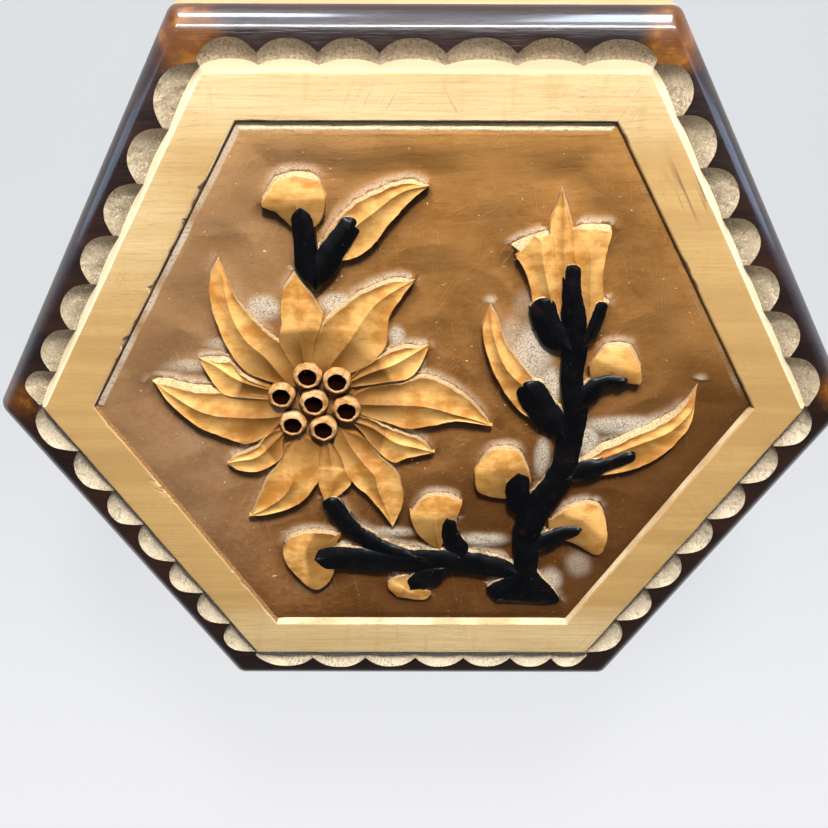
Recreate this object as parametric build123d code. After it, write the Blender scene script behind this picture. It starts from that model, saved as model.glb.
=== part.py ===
from build123d import *
import math
import os

# A hexagonal wooden jewelry box with a carved, hinged lid. All sizes are in millimetres.
# The box stands on its felt pads at Z 0, centred on the Z axis. Two corners of the
# hexagon lie on the X axis, and the flat back wall, which carries the hinges, faces +Y.

# Lid board, carved from one plank
lid_apothem = 62.2
lid_thickness = 12.0
lid_corner_round = 2.0
rim_width = 7.8
rim_drop = 1.3
rim_round = 4.0
lid_lower_round = 1.0
border_width = 7.3
border_bevel = 0.6
recess_depth = 2.5
groove_width = 0.8
groove_depth = 0.7
scallops_per_side = 7
scallop_depth = 2.0

# Box walls, six mitred boards standing on the base
lid_overhang = 2.8
wall_thickness = 7.5
wall_height = 38.5
lid_seat_gap = 0.1
spline_width = 8.0
spline_thickness = 2.0
spline_stop = 4.0

# Base board and what fixes and carries it
base_overhang = 2.4
base_thickness = 8.0
base_upper_round = 3.0
base_lower_round = 1.2
base_screw_length = 20.0
base_screw_radius = 1.5
base_screw_head_radius = 3.0
pad_radius = 5.0
pad_thickness = 1.5
pad_inset = 16.0

# Felt lining, and the panel under the lid that drops between the walls
felt_thickness = 1.0
felt_play = 0.3
panel_thickness = 3.0
panel_play = 0.8
panel_felt_inset = 1.0

# Butt hinges let into the wall top and the lid
hinge_spacing = 40.0
hinge_length = 16.0
barrel_radius = 1.6
barrel_play = 0.3
axis_offset = 0.5
leaf_thickness = 1.0
leaf_inset = 1.4
knuckle_count = 5
knuckle_gap = 0.15
pin_radius = 0.8
pin_play = 0.05
hinge_screw_length = 6.5
hinge_screw_radius = 0.9
hinge_screw_head_radius = 1.5
hinge_screw_spacing = 9.0
slot_width = 0.4

# The carved spray, drawn for a recess of this apothem, and its heights over the sunk field
spray_apothem = 47.1
crest_drop = 0.25
long_petal_edge = 1.2
short_petal_edge = 1.7
leaf_edge = 1.3
stem_edge = 1.1
carving_root = 0.5
dome_radius = 2.25
dome_hole_radius = 1.4
dome_hole_depth = 1.6

# Levels and places that follow from the sizes above
base_bottom = pad_thickness
wall_bottom = base_bottom + base_thickness
wall_top = wall_bottom + wall_height
lid_bottom = wall_top + lid_seat_gap
lid_top = lid_bottom + lid_thickness
rim_top = lid_top - rim_drop
field_level = lid_top - recess_depth
wall_apothem = lid_apothem - lid_overhang
inner_apothem = wall_apothem - wall_thickness
wall_middle = wall_apothem - wall_thickness / 2
plateau_apothem = lid_apothem - rim_width
recess_apothem = plateau_apothem - border_width
axis_y = wall_apothem + axis_offset
axis_z = wall_top + lid_seat_gap / 2
leaf_depth = axis_offset + wall_thickness - leaf_inset
spray_scale = recess_apothem / spray_apothem
spray_top = recess_depth - crest_drop

SIDES = {
    "front": -90,
    "front_right": -30,
    "back_right": 30,
    "back": 90,
    "back_left": 150,
    "front_left": 210,
}


def hexagon(apothem):
    """A flat hexagon with two corners on the X axis."""
    return RegularPolygon(apothem, 6, major_radius=False)


def hexagon_board(apothem, bottom, top):
    """A hexagonal board between two levels."""
    return Pos(0, 0, bottom) * extrude(hexagon(apothem), top - bottom)


def strip_board(outer_apothem, thickness, bottom, top, end_play=0.0):
    """A board along the +X side of a hexagon whose ends are cut on the mitre lines."""
    inner = outer_apothem - thickness
    slope = math.tan(math.radians(30))
    plan = Polyline(
        (inner, -inner * slope + end_play),
        (outer_apothem, -outer_apothem * slope + end_play),
        (outer_apothem, outer_apothem * slope - end_play),
        (inner, inner * slope - end_play),
        close=True,
    )
    return Pos(0, 0, bottom) * extrude(make_face(plan), top - bottom)


def side_board(side, *sizes, **options):
    """The strip board of one named side."""
    return Rot(0, 0, SIDES[side]) * strip_board(*sizes, **options)


def edges_at(solid, level):
    """The edges of a solid that lie flat at one level."""
    return solid.edges().filter_by(lambda edge: abs(edge.bounding_box().size.Z) < 1e-4
                                   and abs(edge.center().Z - level) < 1e-4)


def rounded_board(apothem, bottom, top, corner, upper, lower):
    """A hexagonal board with rounded corners and rounded upper and lower edges."""
    board = hexagon_board(apothem, bottom, top)
    board = fillet(board.edges().filter_by(Axis.Z), corner)
    board = fillet(edges_at(board, top), upper)
    return fillet(edges_at(board, bottom), lower)


def screw_blank(head_radius, radius, length):
    """A countersunk screw without its slot, head up, its top face at the origin."""
    head = head_radius - radius
    shank = Pos(0, 0, -length / 2) * Cylinder(radius, length)
    cone = Pos(0, 0, -head / 2) * Cone(radius, head_radius, head)
    return shank + cone


def screw(head_radius, radius, length):
    """A countersunk screw with a slot across its head."""
    slot = Box(2 * head_radius, slot_width, slot_width)
    return screw_blank(head_radius, radius, length) - slot


def ridge_solid(left, ridge, right, edge, root=-carving_root):
    """A carved form between two outlines that share both ends, with a ridge between them.

    left and right run from the same first point to the same last point. The form rises
    from root to edge along both outlines, and to the crest along the ridge points.
    """
    def place(point, height):
        return (point[0] * spray_scale, point[1] * spray_scale, height)

    crest = [place(left[0], edge)]
    crest += [place(point, spray_top) for point in ridge]
    crest += [place(left[-1], edge)]
    faces = []
    for outline, flip in ((left, False), (right, True)):
        rim = [place(point, edge) for point in outline]
        steps = triangle_steps(rim, crest)
        for corners in steps:
            faces.append(polygon_face(corners[::-1] if flip else corners))
        for start, end in zip(outline, outline[1:]):
            wall = [place(start, root), place(end, root), place(end, edge), place(start, edge)]
            faces.append(polygon_face(wall[::-1] if flip else wall))
    foot = [place(point, root) for point in left + right[-2:0:-1]]
    faces.append(polygon_face(foot))
    return Solid(Shell(faces))


def triangle_steps(rim, crest):
    """Triangles that fill the strip between two chains with the same two ends."""
    triangles = []
    i, j = 0, 0
    while i < len(rim) - 1 or j < len(crest) - 1:
        rim_share = (i + 1) / (len(rim) - 1)
        crest_share = (j + 1) / (len(crest) - 1)
        if j == len(crest) - 1 or (i < len(rim) - 1 and rim_share <= crest_share):
            corners = [rim[i], rim[i + 1], crest[j]]
            i += 1
        else:
            corners = [rim[i], crest[j + 1], crest[j]]
            j += 1
        if len(set(corners)) == 3:
            triangles.append(corners)
    return triangles


def polygon_face(corners):
    """A flat face through corners in order."""
    return Face(Wire.make_polygon(corners, close=True))


def stem_solid(path, half_widths):
    """A stem along a path, crowned along its middle, with its own width at each point."""
    left, right = [path[0]], [path[0]]
    for before, here, after, width in zip(path, path[1:], path[2:], half_widths):
        run = Vector(after[0] - before[0], after[1] - before[1]).normalized()
        left.append((here[0] - run.Y * width, here[1] + run.X * width))
        right.append((here[0] + run.Y * width, here[1] - run.X * width))
    left.append(path[-1])
    right.append(path[-1])
    return ridge_solid(left, path[1:-1], right, stem_edge)


def long_petals():
    """The six long petals, which lie under the short ones."""
    upper_left = ridge_solid(
        [(-20, 3.5), (-25, 4.6), (-29, 6.6), (-31.8, 11.7), (-33.4, 18.9), (-33, 24), (-31.4, 26.8)],
        [(-25.4, 8.9), (-28.2, 11.7), (-30.2, 16), (-31.3, 21.5)],
        [(-20, 3.5), (-20.4, 7.5), (-22.6, 11.9), (-26.6, 16.1), (-29.2, 20), (-30.4, 23.6), (-31.4, 26.8)],
        long_petal_edge)
    upper_right = ridge_solid(
        [(-16.4, 4.5), (-18.5, 8.9), (-16.4, 15.3), (-13.5, 18.2), (-9.5, 21.2), (-4.5, 23.2), (-1.4, 22.7)],
        [(-15.2, 8), (-12, 12.2), (-8.4, 17.4), (-4.6, 21.2)],
        [(-16.4, 4.5), (-12.2, 6), (-7.6, 9), (-6.1, 11.5), (-5.6, 16), (-3.6, 19.6), (-1.4, 22.7)],
        long_petal_edge)
    right = ridge_solid(
        [(-13.4, 1), (-9.5, 4.2), (-4, 5.2), (0.3, 6.3), (5.8, 3.5), (10, -0.9), (11.5, -3.9)],
        [(-8.1, 0.2), (-0.6, 0.4), (4.6, -1.4), (8.5, -2.4)],
        [(-13.4, 1), (-10.3, -1.6), (-6.1, -3.2), (-2.5, -4.4), (1, -3.8), (5.8, -2.9), (11.5, -3.9)],
        long_petal_edge)
    lower_right = ridge_solid(
        [(-15, -3.5), (-10.6, -5), (-7, -9.2), (-4.6, -12.2), (-3.5, -16.8), (-3.6, -20.1), (-5.3, -24.8)],
        [(-12.4, -7.8), (-10, -12), (-8, -16), (-6.5, -20.4)],
        [(-15, -3.5), (-15, -7.9), (-13.8, -12), (-11.7, -15.9), (-9.7, -17.9), (-7.2, -21.5), (-5.3, -24.8)],
        long_petal_edge)
    lower_left = ridge_solid(
        [(-20.5, -4.5), (-17.2, -8), (-17.4, -13), (-18.6, -15.9), (-21.6, -19.8), (-26.6, -22), (-30.6, -22.6)],
        [(-21.4, -9), (-22.6, -13), (-24.4, -17), (-28, -20.6)],
        [(-20.5, -4.5), (-23.4, -7.3), (-24.8, -10.4), (-26.6, -13.2), (-28.8, -18.2), (-30.6, -22.6)],
        long_petal_edge)
    left = ridge_solid(
        [(-22.5, 0), (-26, 1.8), (-31, 2.4), (-37.7, 2.6), (-41, 3.6), (-43.8, 4.3)],
        [(-26, -2.1), (-33.5, -2.1), (-36.8, -1.2), (-40.6, 1.2)],
        [(-22.5, 0), (-25, -4.6), (-29.6, -7.4), (-34.1, -5.9), (-37.7, -4), (-42, 0.6), (-43.8, 4.3)],
        long_petal_edge)
    return [upper_left, upper_right, right, lower_right, lower_left, left]


def short_petals():
    """The six short petals between the long ones."""
    top = ridge_solid(
        [(-19.2, 4), (-21.6, 8.3), (-23.1, 11.9), (-22.6, 16), (-22.1, 21.1), (-20, 24.4)],
        [(-19.4, 9), (-19.8, 13.9), (-19.5, 19.8)],
        [(-19.2, 4), (-17.9, 8.9), (-17.2, 12.5), (-16.2, 15.6), (-16.8, 19.2), (-20, 24.4)],
        short_petal_edge)
    right = ridge_solid(
        [(-14, 3.4), (-10.3, 7.7), (-6.4, 10.4), (-2.8, 11.7), (0.9, 11.5)],
        [(-9, 6.1), (-5, 7.7), (-1.6, 9.8)],
        [(-14, 3.4), (-9.7, 3.9), (-5.6, 4.6), (-2.2, 5.4), (0.9, 11.5)],
        short_petal_edge)
    lower_right = ridge_solid(
        [(-13.6, -2.4), (-10, -1.2), (-6.1, -3.2), (-2.2, -5), (0, -6.2), (1.9, -9.1)],
        [(-9, -4), (-4.6, -7.2), (-1.2, -8.2)],
        [(-13.6, -2.4), (-11.1, -4), (-8.3, -8.2), (-5.1, -11.1), (1.9, -9.1)],
        short_petal_edge)
    bottom = ridge_solid(
        [(-16.6, -5), (-14.6, -7.9), (-13.4, -11.2), (-12.4, -15.4), (-14, -17.4), (-16.4, -19.8)],
        [(-16, -9), (-15.6, -14), (-16, -17.2)],
        [(-16.6, -5), (-17.8, -9.6), (-18, -15.5), (-17.4, -18.4), (-16.4, -19.8)],
        short_petal_edge)
    lower_left = ridge_solid(
        [(-22, -3.6), (-25.6, -4.3), (-28.2, -7.3), (-32.1, -9.3), (-33.4, -11.4)],
        [(-25.4, -7.4), (-28.4, -10.2), (-31.4, -10.9)],
        [(-22, -3.6), (-23.6, -6.5), (-24, -10.1), (-28.2, -13), (-31.8, -12.7), (-33.4, -11.4)],
        short_petal_edge)
    upper_left = ridge_solid(
        [(-22.4, 2.6), (-25.2, 4.4), (-29.3, 6.9), (-31, 9.2), (-33.8, 9.6), (-36.4, 9)],
        [(-26.6, 3.4), (-30.5, 5), (-33.6, 7.4)],
        [(-22.4, 2.6), (-25.2, 1.4), (-29.3, 1.5), (-32.4, 2), (-33.8, 3.3), (-36.4, 9)],
        short_petal_edge)
    return [top, right, lower_right, bottom, lower_left, upper_left]


def flower_heart():
    """Seven domes in the middle of the flower, each drilled down from its top."""
    centres = [
        (-18.2, 0.1),
        (-19, 5.2),
        (-14.2, 4.3),
        (-12.8, -1.2),
        (-16.8, -4.9),
        (-21.9, -4),
        (-23.5, 1.5),
    ]
    height = recess_depth - crest_drop / 2
    pillar = Pos(0, 0, (height - carving_root) / 2) * Cylinder(dome_radius, height + carving_root)
    dome = fillet(edges_at(pillar, height), dome_radius - dome_hole_radius - 0.1)
    hole = Pos(0, 0, height) * Cylinder(dome_hole_radius, 2 * dome_hole_depth)
    places = [(x * spray_scale, y * spray_scale) for x, y in centres]
    domes = [Pos(x, y, 0) * dome for x, y in places]
    holes = [Pos(x, y, 0) * hole for x, y in places]
    return domes, holes


def leaves_and_buds():
    """The leaves and rounded buds of the spray."""
    upper_leaf = ridge_solid(
        [(-16, 26.5), (-15, 30.4), (-11, 35), (-6, 37.8), (-2.2, 38.8), (0.6, 37.6)],
        [(-12, 30), (-8, 33.2), (-3.4, 36.6)],
        [(-16, 26.5), (-12.2, 25.8), (-8.5, 27.7), (-5.5, 31.5), (-2, 35.5), (0.6, 37.6)],
        leaf_edge)
    left_leaf = ridge_solid(
        [(21, -3), (16.6, -1.6), (12.6, 3.9), (10, 10), (9.2, 15), (10.2, 19.1)],
        [(18, 2), (13.6, 6.6), (11.4, 11.4), (10.4, 16)],
        [(21, -3), (22, 1), (18, 5.7), (13, 12.5), (11.6, 16.4), (10.2, 19.1)],
        leaf_edge)
    right_leaf = ridge_solid(
        [(25.8, -14), (28, -10), (34.4, -5.7), (40.4, -2), (43.6, 1.4), (44.6, 3.4)],
        [(30, -10.6), (36.6, -7.3), (41.4, -4.8), (44.4, -0.6)],
        [(25.8, -14), (30, -13.8), (36, -12.4), (40.5, -9.6), (44.4, -3.9), (44.6, 3.4)],
        leaf_edge)
    top_bud = ridge_solid(
        [(-19, 30), (-22, 33.2), (-24.4, 34.5), (-22.8, 38.2), (-18.8, 40)],
        [(-19, 34), (-19.2, 37.4)],
        [(-19, 30), (-16, 31.8), (-14.9, 35.3), (-15.5, 38.7), (-18.8, 40)],
        leaf_edge)
    upper_right_bud = ridge_solid(
        [(28, 3), (26.8, 7), (27.5, 10), (30.9, 12.3)],
        [(30, 6.4), (30.9, 9.6)],
        [(28, 3), (33, 4.4), (35.3, 4.3), (35.1, 7.5), (34, 10.2), (30.9, 12.3)],
        leaf_edge)
    left_bud = ridge_solid(
        [(16, -18.5), (13.5, -18.6), (9.7, -17.2), (9, -13), (9.9, -9.8), (13.7, -7.2)],
        [(14.4, -15), (13.8, -10.6)],
        [(16, -18.5), (18.6, -15), (17.2, -9.8), (13.7, -7.2)],
        leaf_edge)
    middle_bud = ridge_solid(
        [(3, -30), (-0.6, -26.8), (-2.2, -21.8), (-0.9, -18.9), (2.4, -17)],
        [(2.4, -24), (2.6, -20)],
        [(3, -30), (6, -22.8), (6.8, -18.9), (2.4, -17)],
        leaf_edge)
    right_bud = ridge_solid(
        [(23, -27), (22.3, -23.2), (24.5, -20.2), (28.4, -18.6)],
        [(26.4, -24.4), (29.6, -22.6)],
        [(23, -27), (27, -28.4), (31.7, -31.1), (33, -26.8), (31.9, -21.6), (28.4, -18.6)],
        leaf_edge)
    lower_left_bud = ridge_solid(
        [(-16.5, -31), (-15, -27.4), (-14.6, -26), (-19.6, -24.9), (-23.6, -26.2), (-25.2, -30)],
        [(-19.6, -30), (-22.6, -31)],
        [(-16.5, -31), (-16.2, -35.6), (-19.5, -39.3), (-23.4, -35.4), (-25.2, -30)],
        leaf_edge)
    bottom_bud = ridge_solid(
        [(-1.6, -36), (-3, -34.7), (-5.5, -36), (-6.3, -38.4), (-4.6, -41)],
        [(-3.2, -38), (-3.6, -39.4)],
        [(-1.6, -36), (1.7, -39.8), (0.4, -41.6), (-4.6, -41)],
        leaf_edge)
    return [
        upper_leaf, left_leaf, right_leaf, top_bud, upper_right_bud,
        left_bud, middle_bud, right_bud, lower_left_bud, bottom_bud,
    ]


def bellflower():
    """A bell of three fluted petals."""
    left = ridge_solid(
        [(22.4, 12), (17.8, 15.4), (16.9, 19), (15.5, 23.9), (12.5, 28.5)],
        [(19.6, 17), (17.6, 23)],
        [(22.4, 12), (22, 16), (20.8, 23), (19.4, 29.6), (12.5, 28.5)],
        leaf_edge)
    middle = ridge_solid(
        [(23.4, 12), (20.9, 18), (19.4, 26), (18.8, 32), (20, 37.9)],
        [(22.3, 17), (21, 26), (20.3, 33)],
        [(23.4, 12), (24.2, 18), (23.4, 26), (22.2, 31.6), (20, 37.9)],
        leaf_edge)
    right = ridge_solid(
        [(25, 11.5), (23.6, 18), (23, 25), (22.4, 31.6), (28.2, 31.9)],
        [(25.8, 17), (25.6, 24), (25.6, 29)],
        [(25, 11.5), (27.6, 15), (28, 18.6), (27.4, 25), (28.2, 31.9)],
        leaf_edge)
    return [left, middle, right]


def stems():
    """The dark stems and the sepals that hold the flowers and buds."""
    main = stem_solid(
        [(24.4, 16), (24.3, 11.5), (24.1, 5), (25.2, -1), (24.6, -8), (23.6, -14),
         (20.4, -20), (18.6, -26), (18.8, -33), (18.4, -41)],
        [1.8, 1.8, 2, 2.1, 2.4, 2.6, 2.4, 2.2])
    foot = ridge_solid(
        [(19, -33), (15.6, -36), (12, -38.8), (13.6, -42)],
        [(18.4, -37.4), (18.2, -40)],
        [(19, -33), (21.4, -35.6), (25.4, -42.2), (13.6, -42)],
        stem_edge)
    low_branch = stem_solid(
        [(18.6, -36), (15, -34.4), (8, -32.8), (0, -32.6), (-8, -32.4), (-14, -31.8), (-18.4, -32.2)],
        [2, 2.4, 2.6, 2.4, 2.4])
    high_branch = stem_solid(
        [(2, -32), (-4, -31), (-9, -28.4), (-12.8, -25), (-16.2, -19.4)],
        [1.6, 1.7, 1.7])
    middle_stem = stem_solid([(8, -33), (6.4, -29.6), (4.9, -26.6), (4.4, -23.4)], [1.8, 1.4])
    bottom_stem = stem_solid([(5, -33.6), (2, -35.6), (-0.4, -37.2), (-2, -39)], [2.2, 1.8])
    left_bud_stem = stem_solid([(18.8, -24), (17, -20.4), (16.2, -17.4), (16.8, -14.6)], [1.9, 1.9])
    right_bud_stem = stem_solid([(19, -31), (21.8, -28.2), (24.4, -26.4), (27.6, -25.4)], [1.8, 1.4])
    upper_bud_stem = stem_solid([(25.2, -2), (26.8, 2), (29, 4.6), (32.6, 4.6)], [1.5, 1.4])
    left_leaf_stem = stem_solid([(24.4, -7), (21.6, -3), (19, 0.4), (17, 3.8)], [1.8, 2])
    right_leaf_stem = stem_solid([(24, -15), (27.6, -12.6), (30.8, -11.4), (35.4, -9.4)], [1.5, 1.8])
    flower_stem = stem_solid([(-17, 20.4), (-18.2, 24.4), (-18.2, 29), (-18.5, 33.6)], [1.6, 1.6])
    leaf_stem = stem_solid([(-17, 20.4), (-15.6, 25), (-13.4, 28.6), (-10.7, 32)], [1.8, 1.7])
    left_sepal = stem_solid([(24.2, 10), (20.8, 13), (18.8, 16), (17.8, 19.4)], [1.3, 1.5])
    middle_sepal = stem_solid([(24.2, 10), (24, 15), (22.9, 20.5), (22.6, 25)], [1.7, 1.3])
    right_sepal = stem_solid([(24.6, 10), (26.3, 13.4), (27.2, 16), (27.6, 19)], [0.9, 1])
    return [
        main, foot, low_branch, high_branch, middle_stem, bottom_stem, left_bud_stem,
        right_bud_stem, upper_bud_stem, left_leaf_stem, right_leaf_stem, flower_stem,
        leaf_stem, left_sepal, middle_sepal, right_sepal,
    ]


def scallop_cutters():
    """Half balls that leave the row of gouge cuts along each side of the border."""
    side = 2 * plateau_apothem * math.tan(math.radians(30))
    pitch = side / scallops_per_side
    mouth = pitch / 2
    ball = (mouth ** 2 + scallop_depth ** 2) / (2 * scallop_depth)
    half_ball = Sphere(ball) & Pos(ball, 0, 0) * Box(2 * ball, 2 * ball, 2 * ball)
    cutters = []
    for angle in SIDES.values():
        for step in range(scallops_per_side):
            along = (step + 0.5) * pitch - side / 2
            place = Rot(0, 0, angle) * Pos(plateau_apothem, along, rim_top - scallop_depth + ball)
            cutters.append(place * half_ball)
    return cutters


def recess_groove():
    """The V cut along the foot of the recess wall."""
    outer = hexagon_board(recess_apothem, field_level - groove_depth, field_level)
    slope = math.degrees(math.atan(groove_width / groove_depth))
    core = extrude(hexagon(recess_apothem - groove_width), -groove_depth, taper=-slope)
    return outer - Pos(0, 0, field_level) * core


def lid_carving():
    """All raised forms of the spray, on the sunk field, and the holes drilled in them."""
    domes, holes = flower_heart()
    forms = long_petals() + short_petals() + leaves_and_buds() + bellflower() + stems() + domes
    lift = Pos(0, 0, field_level)
    return [lift * form for form in forms], [lift * hole for hole in holes]


def make_lid_board():
    """The lid plank with its rounded rim, scalloped border, sunk field and carved spray."""
    board = rounded_board(
        lid_apothem, lid_bottom, rim_top, lid_corner_round, rim_round, lid_lower_round)
    board -= scallop_cutters()
    plateau = hexagon_board(plateau_apothem, rim_top - scallop_depth, lid_top)
    plateau = chamfer(edges_at(plateau, lid_top), border_bevel)
    board += plateau
    board -= hexagon_board(recess_apothem, field_level, lid_top)
    board -= recess_groove()
    forms, holes = lid_carving()
    board += forms
    board -= holes
    board -= hinge_beds(lid_bottom, lid_bottom + leaf_thickness)
    return board - hinge_screws(screw_blank, "lid")


def hinge_centres():
    """The X places of the two hinges."""
    return {"left": -hinge_spacing / 2, "right": hinge_spacing / 2}


def barrel_cylinder(x, length, radius):
    """A cylinder on the hinge axis, centred at one X place."""
    return Pos(x, axis_y, axis_z) * Rot(0, 90, 0) * Cylinder(radius, length)


def leaf_plate(x, bottom, top):
    """The flat plate of a hinge leaf, from the axis inwards."""
    return Pos(x, axis_y - leaf_depth / 2, (bottom + top) / 2) * Box(hinge_length, leaf_depth, top - bottom)


def hinge_beds(bottom, top):
    """The room cut in the wood for both hinges: flat mortises and the barrels' hollows."""
    beds = []
    for x in hinge_centres().values():
        beds.append(leaf_plate(x, bottom, top))
        beds.append(barrel_cylinder(x, hinge_length + 2 * barrel_play, barrel_radius + barrel_play))
    return beds


def hinge_screws(make, part):
    """The four hinge screws of the lid or of the wall, made by the given function."""
    bore = make(hinge_screw_head_radius, hinge_screw_radius, hinge_screw_length)
    y = wall_middle
    if part == "lid":
        turned = Pos(0, y, lid_bottom) * Rot(180, 0, 0) * bore
    else:
        turned = Pos(0, y, wall_top) * bore
    half = hinge_screw_spacing / 2
    return [Pos(x + side, 0, 0) * turned for x in hinge_centres().values() for side in (-half, half)]


def knuckle_places(own):
    """The knuckles of one leaf, as X offset and length; the wall leaf has the outer ones."""
    length = hinge_length / knuckle_count
    first = 0 if own == "wall" else 1
    places = []
    for index in range(first, knuckle_count, 2):
        places.append(((index + 0.5) * length - hinge_length / 2, length))
    return places


def make_leaf(x, own):
    """One hinge leaf: plate, knuckles, pin bore, and holes for its screws."""
    other = "lid" if own == "wall" else "wall"
    if own == "wall":
        leaf = leaf_plate(x, wall_top - leaf_thickness, wall_top)
    else:
        leaf = leaf_plate(x, lid_bottom, lid_bottom + leaf_thickness)
    for offset, length in knuckle_places(own):
        leaf += barrel_cylinder(x + offset, length - knuckle_gap, barrel_radius)
    for offset, length in knuckle_places(other):
        leaf -= barrel_cylinder(x + offset, length + knuckle_gap, barrel_radius + knuckle_gap)
    play = 0 if own == "wall" else pin_play
    leaf -= barrel_cylinder(x, 2 * hinge_length, pin_radius + play)
    return leaf - hinge_screws(screw_blank, own)


def make_pin(x):
    """The hinge pin, with slightly bevelled ends."""
    pin = barrel_cylinder(x, hinge_length, pin_radius)
    return chamfer(pin.edges().filter_by(GeomType.CIRCLE), pin_radius / 4)


def splines():
    """A hardwood key across each mitre, hidden in the wall's thickness."""
    low = wall_bottom + spline_stop
    high = wall_top - spline_stop
    place = Pos(wall_middle / math.cos(math.radians(30)), 0, (low + high) / 2)
    key = place * Box(spline_thickness, spline_width, high - low)
    return [Rot(0, 0, 60 * step) * key for step in range(6)]


def base_screws(make):
    """One screw up through the base into the middle of each wall."""
    bore = make(base_screw_head_radius, base_screw_radius, base_screw_length)
    upright = Pos(wall_middle, 0, base_bottom) * Rot(180, 0, 0) * bore
    return [Rot(0, 0, angle) * upright for angle in SIDES.values()]


def make_wall(side):
    """One wall board with its mitred ends, kerfs and screw holes."""
    board = side_board(side, wall_apothem, wall_thickness, wall_bottom, wall_top)
    board -= splines()
    board -= base_screws(screw_blank)
    if side == "back":
        board -= hinge_beds(wall_top - leaf_thickness, wall_top)
        board -= hinge_screws(screw_blank, "wall")
    return board


def make_base():
    """The moulded base board with its screw holes."""
    board = rounded_board(
        wall_apothem + base_overhang, base_bottom, wall_bottom,
        lid_corner_round, base_upper_round, base_lower_round)
    return board - base_screws(screw_blank)


def felt_pads():
    """A round felt pad under each corner of the base."""
    corner = (wall_apothem + base_overhang) / math.cos(math.radians(30))
    pad = Pos(corner - pad_inset, 0, pad_thickness / 2) * Cylinder(pad_radius, pad_thickness)
    return [Rot(0, 0, 60 * step) * pad for step in range(6)]


def make_wall_felt(side):
    """The felt on the inner face of one wall, under the lid's panel."""
    bottom = wall_bottom + felt_thickness + felt_play
    top = wall_top - panel_thickness - panel_play
    return side_board(side, inner_apothem, felt_thickness, bottom, top, end_play=felt_play)


def group(solids):
    """Several like solids in one node."""
    return Compound(children=[solid.solid() for solid in solids])


parts = {}
for side in SIDES:
    parts["wall_" + side] = make_wall(side)
    parts["felt_" + side] = make_wall_felt(side)
parts["corner_splines"] = group(splines())
parts["base_board"] = make_base()
parts["base_screws"] = group(base_screws(screw))
parts["felt_pads"] = group(felt_pads())
parts["floor_felt"] = hexagon_board(
    inner_apothem - felt_play, wall_bottom, wall_bottom + felt_thickness)
parts["lid_board"] = make_lid_board()
parts["lid_inner_panel"] = hexagon_board(
    inner_apothem - panel_play, lid_bottom - panel_thickness, lid_bottom)
parts["lid_felt"] = hexagon_board(
    inner_apothem - panel_play - panel_felt_inset,
    lid_bottom - panel_thickness - felt_thickness, lid_bottom - panel_thickness)
for name, x in hinge_centres().items():
    parts["hinge_" + name + "_wall_leaf"] = make_leaf(x, "wall")
    parts["hinge_" + name + "_lid_leaf"] = make_leaf(x, "lid")
    parts["hinge_" + name + "_pin"] = make_pin(x)
parts["hinge_screws_wall"] = group(hinge_screws(screw, "wall"))
parts["hinge_screws_lid"] = group(hinge_screws(screw, "lid"))

os.makedirs("parts", exist_ok=True)
for name, shape in parts.items():
    export_step(shape, "parts/" + name + ".step")
    print(name, len(shape.solids()), round(shape.volume, 2))
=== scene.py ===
import math
import random

import bmesh
import bpy
from mathutils import Euler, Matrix, Vector, kdtree, noise


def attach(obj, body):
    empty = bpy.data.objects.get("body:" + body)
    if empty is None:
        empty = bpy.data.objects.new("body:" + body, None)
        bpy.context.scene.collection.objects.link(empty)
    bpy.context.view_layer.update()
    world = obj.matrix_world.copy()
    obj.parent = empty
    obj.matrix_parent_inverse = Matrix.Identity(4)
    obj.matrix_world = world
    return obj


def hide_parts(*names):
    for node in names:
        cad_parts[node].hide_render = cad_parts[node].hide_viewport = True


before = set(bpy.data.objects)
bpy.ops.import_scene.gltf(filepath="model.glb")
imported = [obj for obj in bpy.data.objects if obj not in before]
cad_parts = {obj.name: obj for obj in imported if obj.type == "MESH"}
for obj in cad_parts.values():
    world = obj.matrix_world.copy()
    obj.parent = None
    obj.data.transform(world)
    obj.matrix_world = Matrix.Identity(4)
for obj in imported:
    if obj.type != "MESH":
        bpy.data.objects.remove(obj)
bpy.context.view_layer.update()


# The studio: a pale floor under the box, one soft key light behind and above its back edge,
# weaker fills round it, and a camera that looks down on the lid from above the back edge.
mm = 0.001


def shade(red, green, blue):
    """A colour named by its screen values from 0 to 255."""
    def linear(value):
        part = value / 255
        return part / 12.92 if part <= 0.04045 else ((part + 0.055) / 1.055) ** 2.4
    return (linear(red), linear(green), linear(blue), 1.0)


class Value:
    """A shader socket that can be used in sums."""

    def __init__(self, finish, socket):
        self.finish = finish
        self.socket = socket

    def combine(self, operation, *terms):
        return self.finish.add("Math", {"operation": operation}, dict(enumerate(terms)))

    def __add__(self, other):
        return self.combine("ADD", self, other)

    def __radd__(self, other):
        return self.combine("ADD", other, self)

    def __sub__(self, other):
        return self.combine("SUBTRACT", self, other)

    def __rsub__(self, other):
        return self.combine("SUBTRACT", other, self)

    def __mul__(self, other):
        return self.combine("MULTIPLY", self, other)

    def __rmul__(self, other):
        return self.combine("MULTIPLY", other, self)

    def __truediv__(self, other):
        return self.combine("DIVIDE", self, other)

    def highest(self, *others):
        """The highest of this value and the others."""
        found = self
        for other in others:
            found = self.combine("MAXIMUM", found, other)
        return found

    def unsigned(self):
        """The value without its sign."""
        return self.combine("ABSOLUTE", self)

    def step(self, low, high):
        """0 under low, 1 over high, and smooth in between."""
        return self.finish.add(
            "MapRange", {"interpolation_type": "SMOOTHSTEP"},
            {"Value": self, "From Min": low, "From Max": high})


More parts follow.
